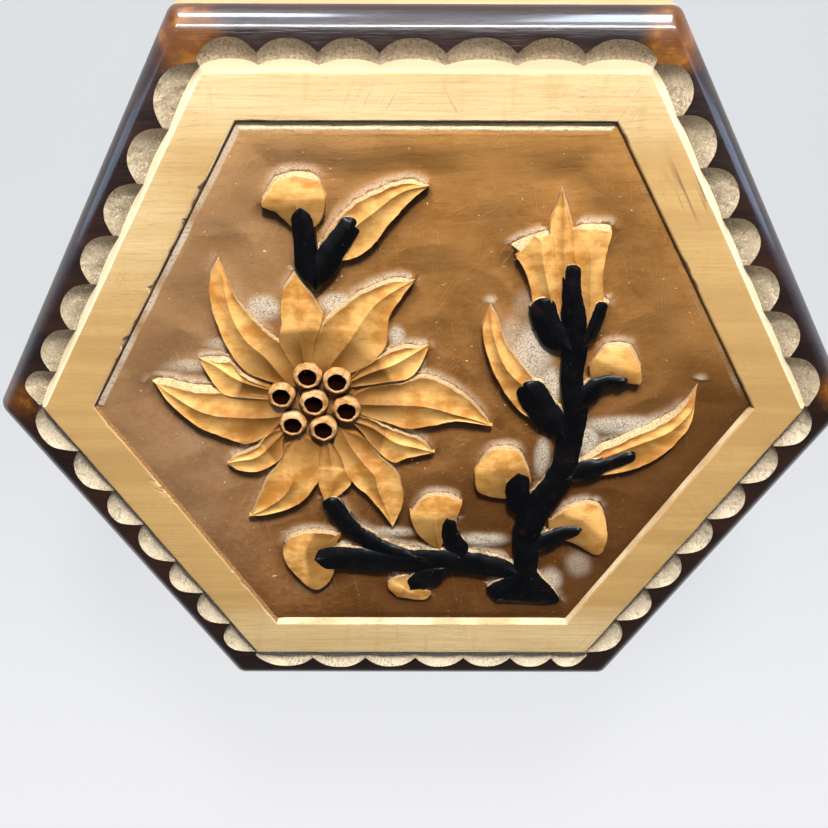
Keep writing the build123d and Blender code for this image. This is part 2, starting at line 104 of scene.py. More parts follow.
class Finish:
    """A procedural material while it is being made."""

    def __init__(self, name):
        self.material = bpy.data.materials.new(name)
        self.material.use_nodes = True
        self.tree = self.material.node_tree
        self.tree.nodes.clear()

    def add(self, kind, settings=None, inputs=None, output=0):
        """One shader node; its settings come first, then its sockets' values or links."""
        node = self.tree.nodes.new("ShaderNode" + kind)
        for name, value in (settings or {}).items():
            setattr(node, name, value)
        for name, value in (inputs or {}).items():
            if isinstance(value, Value):
                self.tree.links.new(value.socket, node.inputs[name])
            else:
                node.inputs[name].default_value = value
        return Value(self, node.outputs[output])

    def place(self):
        """The place on the piece, in metres."""
        return self.add("TexCoord", output="Object")

    def along(self, axis):
        """The place along one axis, in metres."""
        return self.add("SeparateXYZ", None, {"Vector": self.place()}, output=axis)

    def noise(self, cell, detail=3.0, rough=0.5, distortion=0.0, turn=0.0, move=(0, 0, 0)):
        """A cloudy value around a half. Its cell is a length, a width and, where it differs
        from the width, a height in millimetres, turned about Z in degrees and then moved."""
        size = [part * mm for part in (*cell, cell[1])[:3]]
        where = self.add("Mapping", {"vector_type": "TEXTURE"}, {
            "Vector": self.place(), "Rotation": (0, 0, math.radians(turn)), "Scale": size,
            "Location": [part * mm for part in move]})
        return self.add("TexNoise", None, {
            "Vector": where, "Scale": 1.0, "Detail": detail, "Roughness": rough,
            "Distortion": distortion})

    def near(self, x, y, z, radius):
        """1 at a place given in millimetres, falling to 0 at a radius."""
        gap = self.add("VectorMath", {"operation": "DISTANCE"},
                       {0: self.place(), 1: (x * mm, y * mm, z * mm)}, output="Value")
        return 1 - (gap / (radius * mm)).step(0.0, 1.0)

    def mix(self, share, first, second):
        """A colour between two others. A plain colour is given by its screen values."""
        pair = [shade(*colour) if isinstance(colour, tuple) else colour for colour in (first, second)]
        return self.add("Mix", {"data_type": "RGBA"}, {0: share, 6: pair[0], 7: pair[1]}, output=2)

    def paint(self, colour, *layers):
        """A colour with others over it in turn, each as its share and its screen values."""
        for share, tint in layers:
            colour = self.mix(share, colour, tint)
        return colour

    def mark(self, channel):
        """One channel, 0, 1 or 2, of the marks kept on a carved mesh."""
        marks = self.add("Attribute", {"attribute_name": "cut"}, output="Color")
        return self.add("SeparateColor", None, {"Color": marks}, output=channel)

    def surface(self, colour, roughness, height=None, depth=0.1, **fixed):
        """Closes the material. depth is the bump's depth in millimetres."""
        links = {"Base Color": colour, "Roughness": roughness}
        if height is not None:
            links["Normal"] = self.add(
                "Bump", None, {"Height": height, "Distance": depth * mm, "Strength": 1.0})
        for name, value in fixed.items():
            links[name.replace("_", " ")] = value
        shader = self.add("BsdfPrincipled", None, links)
        output = self.tree.nodes.new("ShaderNodeOutputMaterial")
        self.tree.links.new(shader.socket, output.inputs["Surface"])
        return self.material


def add_object(name, data):
    """A new object in the scene for a mesh, a lamp or a camera."""
    made = bpy.data.objects.new(name, data)
    bpy.context.scene.collection.objects.link(made)
    return made


def studio_floor():
    """A large pale sheet of card that glows with painted light, paler towards the front, so that it
    stays even to its edges.
    """
    finish = Finish("pale_card")
    cloud = finish.noise((40, 40), detail=4)
    colour = finish.mix(cloud, (74, 75, 77), (80, 81, 83))
    # Painted glow: the card gives off its own light, paler towards the front, in place of light
    # falling on it.
    painted_glow = finish.mix(finish.along("Y").step(-0.20, 0.08), (250, 250, 252), (212, 216, 220))
    finish.surface(colour, 0.9, Emission_Color=painted_glow, Emission_Strength=0.84)
    half = 1.6
    mesh = bpy.data.meshes.new("studio_floor")
    mesh.from_pydata([(-half, -half, 0), (half, -half, 0), (half, half, 0), (-half, half, 0)],
                     [], [(0, 1, 2, 3)])
    mesh.materials.append(finish.material)
    add_object("studio_floor", mesh)


def studio_light(name, place, aim, size, watts, colour, seen_in):
    """A soft box that faces a point and is seen in either matt or glossy surfaces."""
    lamp = bpy.data.lights.new(name, "AREA")
    lamp.shape = "RECTANGLE"
    lamp.size, lamp.size_y = size
    lamp.energy = watts
    lamp.color = colour
    light = add_object(name, lamp)
    light.location = place
    light.rotation_euler = (Vector(aim) - Vector(place)).to_track_quat("-Z", "Y").to_euler()
    light.visible_diffuse = seen_in == "matt"
    light.visible_glossy = seen_in == "gloss"


studio_floor()
lid_middle = (0, 0, 0.055)
back_rim = (0, 0.06, 0.055)
cool = (0.74, 0.86, 1.0)
blue = (0.50, 0.70, 1.0)
warm = (1.0, 0.96, 0.90)
studio_light("key_light", (0.02, 0.44, 0.33), lid_middle, (0.09, 0.09), 5.6, warm, "matt")
studio_light("left_strip", (-0.62, 0.10, 0.22), (-0.06, 0, 0.05), (0.10, 0.5), 0.8, blue, "gloss")
studio_light("right_strip", (0.62, 0.10, 0.22), (0.06, 0, 0.05), (0.10, 0.5), 1.1, blue, "gloss")
studio_light("top_line", (0.0, 0.46, 0.72), back_rim, (1.2, 0.06), 24.0, (0.92, 0.95, 1.0), "gloss")
studio_light("back_left_window", (-0.17, 0.78, 0.22), back_rim, (0.20, 0.20), 7.6, cool, "gloss")
studio_light("back_right_window", (0.19, 0.72, 0.34), back_rim, (0.16, 0.44), 8.0, cool, "gloss")

world = bpy.data.worlds.new("studio")
world.use_nodes = True
air = world.node_tree.nodes["Background"]
air.inputs["Color"].default_value = (0.80, 0.84, 0.90, 1)
air.inputs["Strength"].default_value = 0.17
bpy.context.scene.world = world
bpy.context.scene.view_settings.view_transform = "Standard"

lens = bpy.data.cameras.new("camera")
lens.lens = 45.67
lens.sensor_width = 36.0
lens.clip_start = 0.01
lens.clip_end = 20.0
camera = add_object("camera", lens)
camera.location = (-0.00201, 0.08808, 0.20904)
camera.rotation_euler = Euler((math.radians(-30.936), math.radians(-0.051), math.radians(0.175)))
bpy.context.scene.camera = camera


# The outer part of the lid's plank, all one piece of wood: the dark lacquered rim with its
# rounded edge, the gouge cuts along the border's foot, the pale border, and the wall and V cut
# that frame the sunk field. Its underside has the beds of the two hinges.
slope_30 = math.tan(math.radians(30))
lid_bottom = 48.1
lid_top = 60.1
lid_apothem = 62.2
plateau_apothem = 54.4
recess_apothem = 47.1
recess_depth = 2.5
rim_drop = 0.7
rim_round = 3.6
hexagon_turns = [30 + 60 * step for step in range(6)]
cuts_per_side = 7
edge_dice = random.Random(4)

# The finishes of the rows, in the order of the mesh's slots.
CUT, PALE, CREAM, BOWL, DARK, PLAIN, SHADE_STAIN = range(7)

# By the direction each side faces: how far its six inner cusps stand from even places; the
# bowls' reach, cusp and inner curve; the V groove's depth; how torn the field's wall is.
cusp_shifts = {
    90: (0.5, 1.0, 1.6, 2.0, 1.4, 0.9), 30: (1.1, 1.2, 1.2, 1.0, 0.9, 1.0),
    150: (1.3, 2.1, 2.4, 2.7, 2.6, 2.5), 210: (1.2, 1.4, 0.8, 1.4, 1.0, 0.6),
    270: (1.6, 2.9, 3.5, 3.7, 3.5, 2.6), 330: (0.5, 0.3, 0.6, 0.8, 0.4, 0.5),
}
cut_shapes = {
    90: (3.95, 1.9, 0.10, 0.62), 270: (4.35, 2.0, 0.16, 0.10), 30: (4.45, 1.15, 0.30, 0.35),
    150: (4.45, 1.15, 0.30, 0.35), 210: (4.45, 0.9, 0.16, 0.12), 330: (4.45, 0.9, 0.16, 0.12),
}
groove_depths = {90: 0.85, 30: 0.72, 330: 1.1, 270: 1.35, 210: 0.95, 150: 0.8}
torn_sides = {30: 0.30, 90: 0.12, 150: 0.85, 210: 0.65, 270: 0.12, 330: 0.12}

# By the direction each corner points: the move that hand rubbing has given it along X and Y.
corner_pulls = {0: (-0.46, -0.80), 60: (-1.04, 0.0), 120: (0.58, 0.0), 180: (0.75, -1.30),
                240: (0.0, 0.0), 300: (0.0, 0.0)}


def make_object(name, points, faces, finishes, sharp, slots=None, marks=None):
    """A piece from points in millimetres: doubles merged, faces outwards, and edges kept
    sharp where they turn by more than an angle in degrees."""
    mesh = bpy.data.meshes.new(name)
    mesh.from_pydata([(x * mm, y * mm, z * mm) for x, y, z in points], [], faces)
    for finish in finishes:
        mesh.materials.append(finish)
    if slots:
        mesh.polygons.foreach_set("material_index", slots)
    if marks:
        layer = mesh.attributes.new("cut", "FLOAT_COLOR", "POINT")
        layer.data.foreach_set("color", [part for mark in marks for part in (*mark, 1.0)])
    shape = bmesh.new()
    shape.from_mesh(mesh)
    bmesh.ops.remove_doubles(shape, verts=shape.verts, dist=0.002 * mm)
    bmesh.ops.dissolve_degenerate(shape, edges=shape.edges, dist=0.001 * mm)
    bmesh.ops.recalc_face_normals(shape, faces=shape.faces)
    shape.to_mesh(mesh)
    shape.free()
    mesh.shade_smooth()
    mesh.set_sharp_from_angle(angle=math.radians(sharp))
    return add_object(name, mesh)


def keep_result(piece, modifier):
    """The piece takes the mesh that its modifier makes, and the modifier goes."""
    plain = piece.data
    graph = bpy.context.evaluated_depsgraph_get()
    made = bpy.data.meshes.new_from_object(piece.evaluated_get(graph))
    piece.modifiers.remove(modifier)
    piece.data = made
    bpy.data.meshes.remove(plain)


def ribbon(here, after):
    """The faces between two closed rings of points."""
    count = len(here)
    return [(here[step], here[(step + 1) % count], after[(step + 1) % count], after[step])
            for step in range(count)]


def tube(rings, count):
    """The faces of a tube whose points come ring after ring."""
    spans = [range(ring * count, (ring + 1) * count) for ring in range(rings)]
    return [face for here, after in zip(spans, spans[1:]) for face in ribbon(here, after)]


def wobble(x, y, z, size):
    """A smooth random value from -1 to 1 with features of a size in millimetres."""
    return noise.noise(Vector((x / size, y / size, z / size)))


def rim_level(apothem):
    """The rim's surface: flat, then a quarter round down to the side."""
    past = max(0.0, apothem - (lid_apothem - rim_round))
    return -rim_drop - rim_round + math.sqrt(max(0.0, rim_round ** 2 - past ** 2))


def edge_columns(turn):
    """Where the sections across the border and rim stand along one side.

    Each is the place along the plateau's side, the roundness of the gouge cut there from 0 at
    a cusp to 1 at its middle, the cut's number, and the share of the way round the corner.
    """
    steps = 9
    half = plateau_apothem * slope_30
    ends = [-half + 2 * half * step / cuts_per_side for step in range(cuts_per_side + 1)]
    for step, shift in enumerate(cusp_shifts[turn], 1):
        ends[step] += edge_dice.uniform(-0.22, 0.22) + shift
    columns = [(-half, 0.0, 0, share) for share in (1.0, 0.84, 0.67, 0.5, 0.25)]
    for cut in range(cuts_per_side):
        middle = (ends[cut] + ends[cut + 1]) / 2
        reach = (ends[cut + 1] - ends[cut]) / 2
        for step in range(-steps, steps):
            across = math.sin(math.pi / 2 * step / steps)
            columns.append((middle + reach * across, 1 - abs(across) ** 2.4, cut, 0.0))
    columns += [(half, 0.0, cuts_per_side - 1, share) for share in (0.0, 0.25, 0.5, 0.67, 0.84)]
    return columns


def on_side(apothem, along, turn):
    """A point from its distance out and its place along one side."""
    angle = math.radians(turn)
    return (apothem * math.cos(angle) - along * math.sin(angle),
            apothem * math.sin(angle) + along * math.cos(angle))


def corner_place(apothem, column):
    """The distance out and the place along the side, round the rim's rounded corner."""
    along, _, _, share = column
    half = plateau_apothem * slope_30
    sign = 1 if along > 0 else -1
    if apothem <= plateau_apothem:
        return apothem, along * apothem / plateau_apothem
    if share == 0:
        return apothem, along
    radius = 0.2 + 1.8 * min(1.0, (apothem - plateau_apothem) / (lid_apothem - plateau_apothem))
    tangent = (apothem - radius) * slope_30
    if share <= 0.5:
        return apothem, sign * (half + (tangent - half) * share / 0.5)
    angle = math.radians(30) * (share - 0.5) / 0.5
    return apothem - radius + radius * math.cos(angle), sign * (tangent + radius * math.sin(angle))


def rim_pull(apothem, out, along, turn):
    """How far the hand-rubbed rim stands in from a true hexagon, as a move along X and Y."""
    part = max(0.0, min(1.0, (apothem - 57.5) / 4.0))
    toward = max(-1.0, min(1.0, along / (out * slope_30)))
    pulls = zip(corner_pulls[(turn - 30) % 360], corner_pulls[(turn + 30) % 360])
    return [part * (first * (1 - toward) + second * (1 + toward)) / 2 for first, second in pulls]


def border_section(column, turn, cuts):
    """The rows of one section, from the sunk field out, round the rim and back underneath."""
    along, round_part, cut, share = column
    size, depth = cuts[cut]
    reach, cusp, inner, inner_more = cut_shapes[turn]
    x, y = on_side(recess_apothem, along * recess_apothem / plateau_apothem, turn)
    chip = max(0.0, wobble(x, y, 3.0, 1.9) + 0.6 * wobble(x, y, 9.0, 0.7) - 0.18) * torn_sides[turn]
    line = 0.07 * wobble(x, y, 5.0, 6.0)
    inner += inner_more * round_part
    outer = cusp + (reach * size - cusp) * round_part
    low = -(1.5 + 1.1 * round_part * depth)
    if share > 0:
        inner += (0.16 - inner) * share
        outer += (0.55 - cusp) * share
        low += 0.7 * share
    # Painted shade: the field's wall on the back sides and the outer bevel on the front sides face
    # away from the key light and take the dark stained finish. The walls and bevels that face it are
    # cut or cream wood. The front left wall is dark as well.
    faces_back = turn in (30, 90, 150)
    wall = SHADE_STAIN if faces_back or turn == 210 else CUT
    lip = CUT if turn in (90, 150, 270) else PALE
    edge = CREAM if faces_back else SHADE_STAIN
    rows = [(46.0, -3.6, wall), (46.66, -1.75, wall), (46.86 + line, -1.0, wall),
            (47.0 + line + 0.3 * chip, -0.52, wall), (47.08 + line + chip, -0.2 - 0.5 * chip, lip),
            (47.3 + line + 1.25 * chip, -0.02, PALE), (48.6, 0.0, PALE), (50.3, 0.0, PALE),
            (52.2, 0.0, PALE)]
    if faces_back:
        rows += [(53.6, 0.0, PALE), (53.85 + line, -0.03, CREAM), (54.25 + line, -0.22, CREAM),
                 (plateau_apothem + 0.12 * wobble(x, y, 1.0, 2.5), -0.5, CREAM)]
    else:
        rows += [(54.0, 0.0, PALE), (54.26 + line, -0.03, edge), (54.36 + line, -0.14, edge),
                 (plateau_apothem + line, -0.5, edge)]
    foot = plateau_apothem + inner
    brink = plateau_apothem + outer
    rows += [((plateau_apothem + foot) / 2, (low - 0.5) * 0.55, edge), (foot, low, BOWL)]
    for part in (0.16, 0.34, 0.52, 0.70, 0.86):
        level = low + (rim_level(brink) - low) * part ** 1.7
        level += 0.10 * wobble(x + part * 9, y, 2.0, 0.9) * math.sin(math.pi * part)
        rows.append((foot + (brink - foot) * part, level, BOWL))
    for apothem in (brink, brink + 0.12, 59.3, 59.8, 60.3, 60.8, 61.2, 61.55, 61.8, 62.0, 62.12):
        rows.append((apothem, rim_level(apothem), DARK))
    rows.append((62.19, rim_level(62.19), PLAIN))
    for apothem, level in (
            (lid_apothem, -4.6), (lid_apothem, -6.8), (62.15, -9.2), (62.05, -10.4), (61.85, -11.1),
            (61.5, -11.6), (61.0, -11.9), (60.5, -12.0), (58.0, -12.0), (52.0, -12.0), (46.0, -12.0),
            (46.0, -8.0)):
        rows.append((apothem, level, PLAIN))
    return rows


def lid_edge_mesh(finishes):
    """The whole frame of the lid, section by section round the hexagon."""
    points, faces, slots = [], [], []
    rings, kinds = [], []
    for turn in hexagon_turns:
        cuts = [(edge_dice.uniform(0.96, 1.03), edge_dice.uniform(0.85, 1.12))
                for _ in range(cuts_per_side)]
        for column in edge_columns(turn):
            rows = border_section(column, turn, cuts)
            rings.append(range(len(points), len(points) + len(rows)))
            kinds.append([kind for _, _, kind in rows])
            for apothem, level, _ in rows:
                out, along = corner_place(apothem, column)
                x, y = on_side(out, along, turn)
                pull_x, pull_y = rim_pull(apothem, out, along, turn)
                points.append((x + pull_x, y + pull_y, lid_top + level))
    for here, after, kind in zip(rings, rings[1:] + rings[:1], kinds):
        for row in range(len(here)):
            up = (row + 1) % len(here)
            faces.append((here[row], after[row], after[up], here[up]))
            slots.append(kind[row])
    return make_object("lid_edge", points, faces, finishes, 26, slots=slots)


def wood(finish, turn=0.0, move=(0, 0, 0)):
    """Growth bands, fine fibres and short pores of a board whose grain runs along one turn."""
    run = dict(turn=turn, move=move)
    bands = finish.noise((95, 5.5, 9), detail=4, rough=0.55, distortion=0.6, **run)
    fibres = finish.noise((9, 0.28), detail=4, rough=0.62, **run)
    pores = finish.noise((1.6, 0.13), detail=2, **run).step(0.60, 0.74)
    return bands, fibres, pores


def scratches(finish, turn, size=1.0):
    """Thin straight scratches that all run roughly one way."""
    drift = finish.noise((9 * size, 0.16 * size, 4), detail=2, rough=0.4, turn=turn)
    spread = finish.noise((6 * size, 6 * size), detail=2).step(0.45, 0.62)
    return drift.step(0.64, 0.74) * spread


def hexagon_reach(finish):
    """The distance in metres from the lid's middle to a hexagon's side through the point."""
    up, across = finish.along("Y"), finish.along("X")
    return up.unsigned().highest(*[(across * 0.866 + up * lean).unsigned() for lean in (0.5, -0.5)])


def border_wood():
    """Pale limewood under a thin clear varnish, with scratches, pores and one dark streak. Its back
    and front sides are paler, the back side and the back left corner as painted sheen and glare on
    the varnish.
    """
    finish = Finish("border_wood")
    bands, fibres, pores = wood(finish)
    # Painted sheen: the back side is paler, and the back left corner paler still as painted glare.
    # The front side is paler too.
    pale = finish.along("Y").unsigned().step(0.040, 0.050)
    painted_glare = finish.near(-46, 34, lid_top, 24).step(0.1, 0.9) * 0.7
    band = bands.step(0.3, 0.7)
    tan = finish.mix(band, (188, 148, 84), (206, 168, 102))
    cream = finish.mix(band, (214, 184, 128), (230, 206, 156))
    across = finish.noise((3.2, 22, 20), detail=3, rough=0.6)
    lines = scratches(finish, 62).highest(scratches(finish, 118, 1.3), scratches(finish, 8, 0.9))
    streak = finish.noise((13, 0.8, 5), detail=3, distortion=0.5, turn=118, move=(41.8, 40.5, 0))
    here = finish.near(41.5, 39.0, lid_top, 11).step(0.15, 0.8)
    worn = finish.noise((26, 17), detail=4)
    hair = finish.noise((1.8, 0.24, 0.3), detail=3, rough=0.6, turn=-24)
    frayed = finish.near(-41.5, -14.5, lid_top, 10).step(0.25, 0.7)
    frayed *= 1 - hexagon_reach(finish).step(0.0473, 0.0492)
    colour = finish.paint(
        finish.mix(pale.highest(painted_glare), tan, cream),
        (fibres.step(0.42, 0.70) * 0.42, (182, 140, 78)),
        (across.step(0.56, 0.70) * 0.30, (190, 148, 80)),
        (pores * 0.35, (140, 96, 44)),
        (lines * 0.40, (158, 118, 62)),
        (streak.step(0.50, 0.66) * here * 0.85, (106, 66, 22)),
        (worn.step(0.46, 0.74) * 0.30, (192, 150, 86)),
        (frayed * hair.step(0.46, 0.54), (236, 200, 140)),
        (frayed * (1 - hair.step(0.38, 0.46)), (118, 78, 34)))
    height = fibres * 0.5 - lines * 0.9 - pores * 0.6
    return finish.surface(colour, 0.44 + fibres * 0.22, height, 0.05, Coat_Weight=0.3,
                          Coat_Roughness=0.34)


def cut_wood():
    """Bare cut wood on the field's frame: cream on the slopes, with torn fibres and dust."""
    finish = Finish("bare_cut")
    fibre = finish.noise((0.9, 0.22, 0.22), detail=4, rough=0.7)
    cloud = finish.noise((7, 7, 7), detail=4)
    colour = finish.mix(cloud.step(0.35, 0.68), (216, 184, 136), (244, 224, 184))
    colour = finish.mix(fibre.step(0.50, 0.72) * 0.55, colour, (134, 100, 66))
    return finish.surface(colour, 0.85, fibre, 0.22)


def shaded_edge_wood():
    """Brown wood, painted as shade on the walls and bevels that face away from the key light."""
    finish = Finish("dark_edge_in_shade")
    _, fibres, _ = wood(finish)
    colour = finish.mix(fibres.step(0.40, 0.70), (132, 90, 42), (190, 144, 84))
    return finish.surface(colour, 0.7, fibres, 0.08)


def cream_wood():
    """The gouge's smooth inner face and the border's softened outer edge."""
    finish = Finish("cream_bevel")
    bands, fibres, _ = wood(finish)
    band = bands.step(0.3, 0.7)
    in_shade = finish.mix(band, (176, 152, 120), (190, 168, 138))
    in_light = finish.mix(band, (232, 214, 176), (246, 232, 198))
    colour = finish.mix(finish.along("Y").step(0.051, 0.055), in_light, in_shade)
    colour = finish.mix(fibres.step(0.52, 0.76) * 0.30, colour, (184, 150, 98))
    return finish.surface(colour, 0.6, fibres, 0.05)


def gouged_wood():
    """The bowl of a gouge cut: smooth and pale outside, painted grey by the border as the shade of
    its edge, and torn into short wrinkles along the back side, where the cut ran across the grain."""
    finish = Finish("gouged_bowl")
    back = finish.along("Y").step(0.050, 0.056)
    cloud = finish.noise((3.2, 3.2), detail=2)
    wrinkle = finish.noise((0.8, 0.42, 0.5), detail=5, rough=0.66, distortion=0.3, turn=90)
    torn = (cloud.step(0.40, 0.60) * 0.7).highest(back * 0.8)
    grit = finish.noise((0.30, 0.30), detail=3, rough=0.7)
    # Painted shade: the bowl is grey next to the border, least at the back, and pale further out.
    outer = (hexagon_reach(finish) + (cloud - 0.5) * 0.003).step(0.0546, 0.0592)
    colour = finish.paint(
        finish.mix(back, (128, 114, 94), (178, 162, 136)),
        (outer, (224, 208, 178)),
        (wrinkle.step(0.44, 0.66) * torn, (132, 112, 86)),
        (grit.step(0.54, 0.66) * 0.5, (244, 232, 206)),
        ((1 - grit.step(0.34, 0.46)) * 0.35, (104, 86, 64)))
    return finish.surface(colour, 0.8, wrinkle * torn * -1.3 + grit * 0.3, 0.40)


def dark_lacquer(name):
    """Walnut brown to black lacquer, worn to amber on the rim's corners, under gloss varnish."""
    finish = Finish(name)
    bands, fibres, _ = wood(finish)
    patch = finish.noise((3.4, 3.4), detail=4, rough=0.65)
    amber = finish.near(-33, 58, 58.5, 11).highest(
        finish.near(34, 58, 58.5, 10), finish.near(-67.5, 1, 58.5, 8) * 0.8,
        finish.near(67, 3, 58.5, 8) * 0.8)
    worn = (amber * 1.1 + patch * 1.2 - 0.95).step(0.0, 0.6)
    colour = finish.paint(
        finish.mix(bands.step(0.35, 0.72), (20, 9, 6), (50, 24, 12)),
        (fibres.step(0.45, 0.75) * 0.5, (70, 36, 16)),
        (worn * 0.9, (108, 62, 8)),
        ((worn * patch).step(0.46, 0.66) * 0.6, (158, 100, 16)))
    grease = finish.noise((14, 1.2), detail=4, rough=0.6)
    smear = finish.noise((5, 0.22), detail=4, rough=0.7)
    height = fibres * 0.5 + grease * 0.8 + smear * 0.9
    return finish.surface(colour, 0.15 + grease * 0.20 + smear * 0.14, height, 0.05,
                          Specular_IOR_Level=0.3, Coat_Weight=0.55, Coat_Roughness=0.12)


def plain_wood(name, turn, tint, deep, gloss):
    """Plain limewood board, varnished, with its grain along one direction."""
    finish = Finish(name)
    bands, fibres, pores = wood(finish, turn, (7, 31, 3))
    fleck = finish.noise((2.2, 1.1), detail=2, turn=turn).step(0.62, 0.7)
    colour = finish.paint(
        finish.mix(bands.step(0.32, 0.68), deep, tint),
        (fibres.step(0.45, 0.72) * 0.5, deep),
        (pores * 0.35, (118, 78, 36)),
        (fleck * 0.22, (240, 212, 150)))
    height = fibres * 0.6 - pores * 0.5
    return finish.surface(colour, 0.34 + fibres * 0.25, height, 0.04, Coat_Weight=gloss,
                          Coat_Roughness=0.2)


panel_wood = plain_wood("panel_wood", 0.0, (222, 190, 128), (190, 148, 88), 0.4)
lid_edge = lid_edge_mesh([cut_wood(), border_wood(), cream_wood(), gouged_wood(),
                          dark_lacquer("dark_lacquer"), panel_wood, shaded_edge_wood()])


def cut_hinge_beds(piece):
    """The flat beds and the hollows for the hinge barrels, cut in the lid's underside."""
    beds = bmesh.new()
    axis_y, axis_z = 59.9, 48.05
    leaf_length, leaf_depth, bed_height = 16.0, 6.6, 2.0
    barrel_radius, barrel_length = 1.9, 16.6
    for x in (-20.0, 20.0):
        for corner in bmesh.ops.create_cube(beds, size=1.0)["verts"]:
            corner.co = (x + leaf_length * corner.co.x,
                         axis_y - leaf_depth / 2 + leaf_depth * corner.co.y,
                         lid_bottom + bed_height * corner.co.z)
        barrel = bmesh.ops.create_cone(beds, cap_ends=True, segments=40, radius1=barrel_radius,
                                       radius2=barrel_radius, depth=barrel_length)
        for corner in barrel["verts"]:
            corner.co = (x + corner.co.z, axis_y + corner.co.y, axis_z + corner.co.x)
    for corner in beds.verts:
        corner.co *= mm
    bmesh.ops.recalc_face_normals(beds, faces=beds.faces)
    mesh = bpy.data.meshes.new("bed_cutter")
    beds.to_mesh(mesh)
    beds.free()
    cutter = add_object("bed_cutter", mesh)
    cut = piece.modifiers.new("beds", "BOOLEAN")
    cut.operation = "DIFFERENCE"
    cut.solver = "EXACT"
    cut.use_self = True
    cut.object = cutter
    keep_result(piece, cut)
    bpy.data.objects.remove(cutter)
    bpy.data.meshes.remove(mesh)


cut_hinge_beds(lid_edge)
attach(lid_edge, "lid")
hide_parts("lid_board")


# The spray is carved in relief from the same plank. Each form is a ridge between two outlines,
# rising from a ragged wall, so that petals, leaves, bells and stems all come from one cut.
# Outlines are in millimetres, as they look from over the lid's back edge.
field_level = lid_top - recess_depth
sight = (-2.0, 88.1, 148.9)
sight_level = 2.0


def settle(x, y, height):
    """A point of an outline, moved along the line of sight down to its own height."""
    share = (height - sight_level) / sight[2]
    return (x + (sight[0] - x) * share, y + (sight[1] - y) * share, field_level + height)


def smooth_line(corners, count):
    """Evenly spaced points on a smooth curve through the corners."""
    spots = [Vector(corner) for corner in corners]
    fine = []
    for index in range(len(spots) - 1):
        here, after = spots[index], spots[index + 1]
        length = (after - here).length
        before = spots[index - 1] if index else here
        beyond = spots[index + 2] if index + 2 < len(spots) else after
        leave = (after - before) * (length / max(1e-6, length + (here - before).length))
        enter = (beyond - here) * (length / max(1e-6, length + (beyond - after).length))
        for step in range(12):
            t = step / 12
            fine.append((2 * t ** 3 - 3 * t ** 2 + 1) * here + (t ** 3 - 2 * t ** 2 + t) * leave
                        + (3 * t ** 2 - 2 * t ** 3) * after + (t ** 3 - t ** 2) * enter)
    fine.append(spots[-1])
    reach = [0.0]
    for here, after in zip(fine, fine[1:]):
        reach.append(reach[-1] + (after - here).length)
    line, index = [], 0
    for step in range(count):
        goal = reach[-1] * step / (count - 1)
        while index < len(fine) - 2 and reach[index + 1] < goal:
            index += 1
        span = max(1e-9, reach[index + 1] - reach[index])
        line.append(fine[index].lerp(fine[index + 1], min(1.0, (goal - reach[index]) / span)))
    return line


def by_share(values, share):
    """Straight runs between (share, value) stops."""
    for (low, first), (high, second) in zip(values, values[1:]):
        if share <= high:
            return first + (second - first) * (share - low) / max(1e-9, high - low)
    return values[-1][1]


outline_points = []


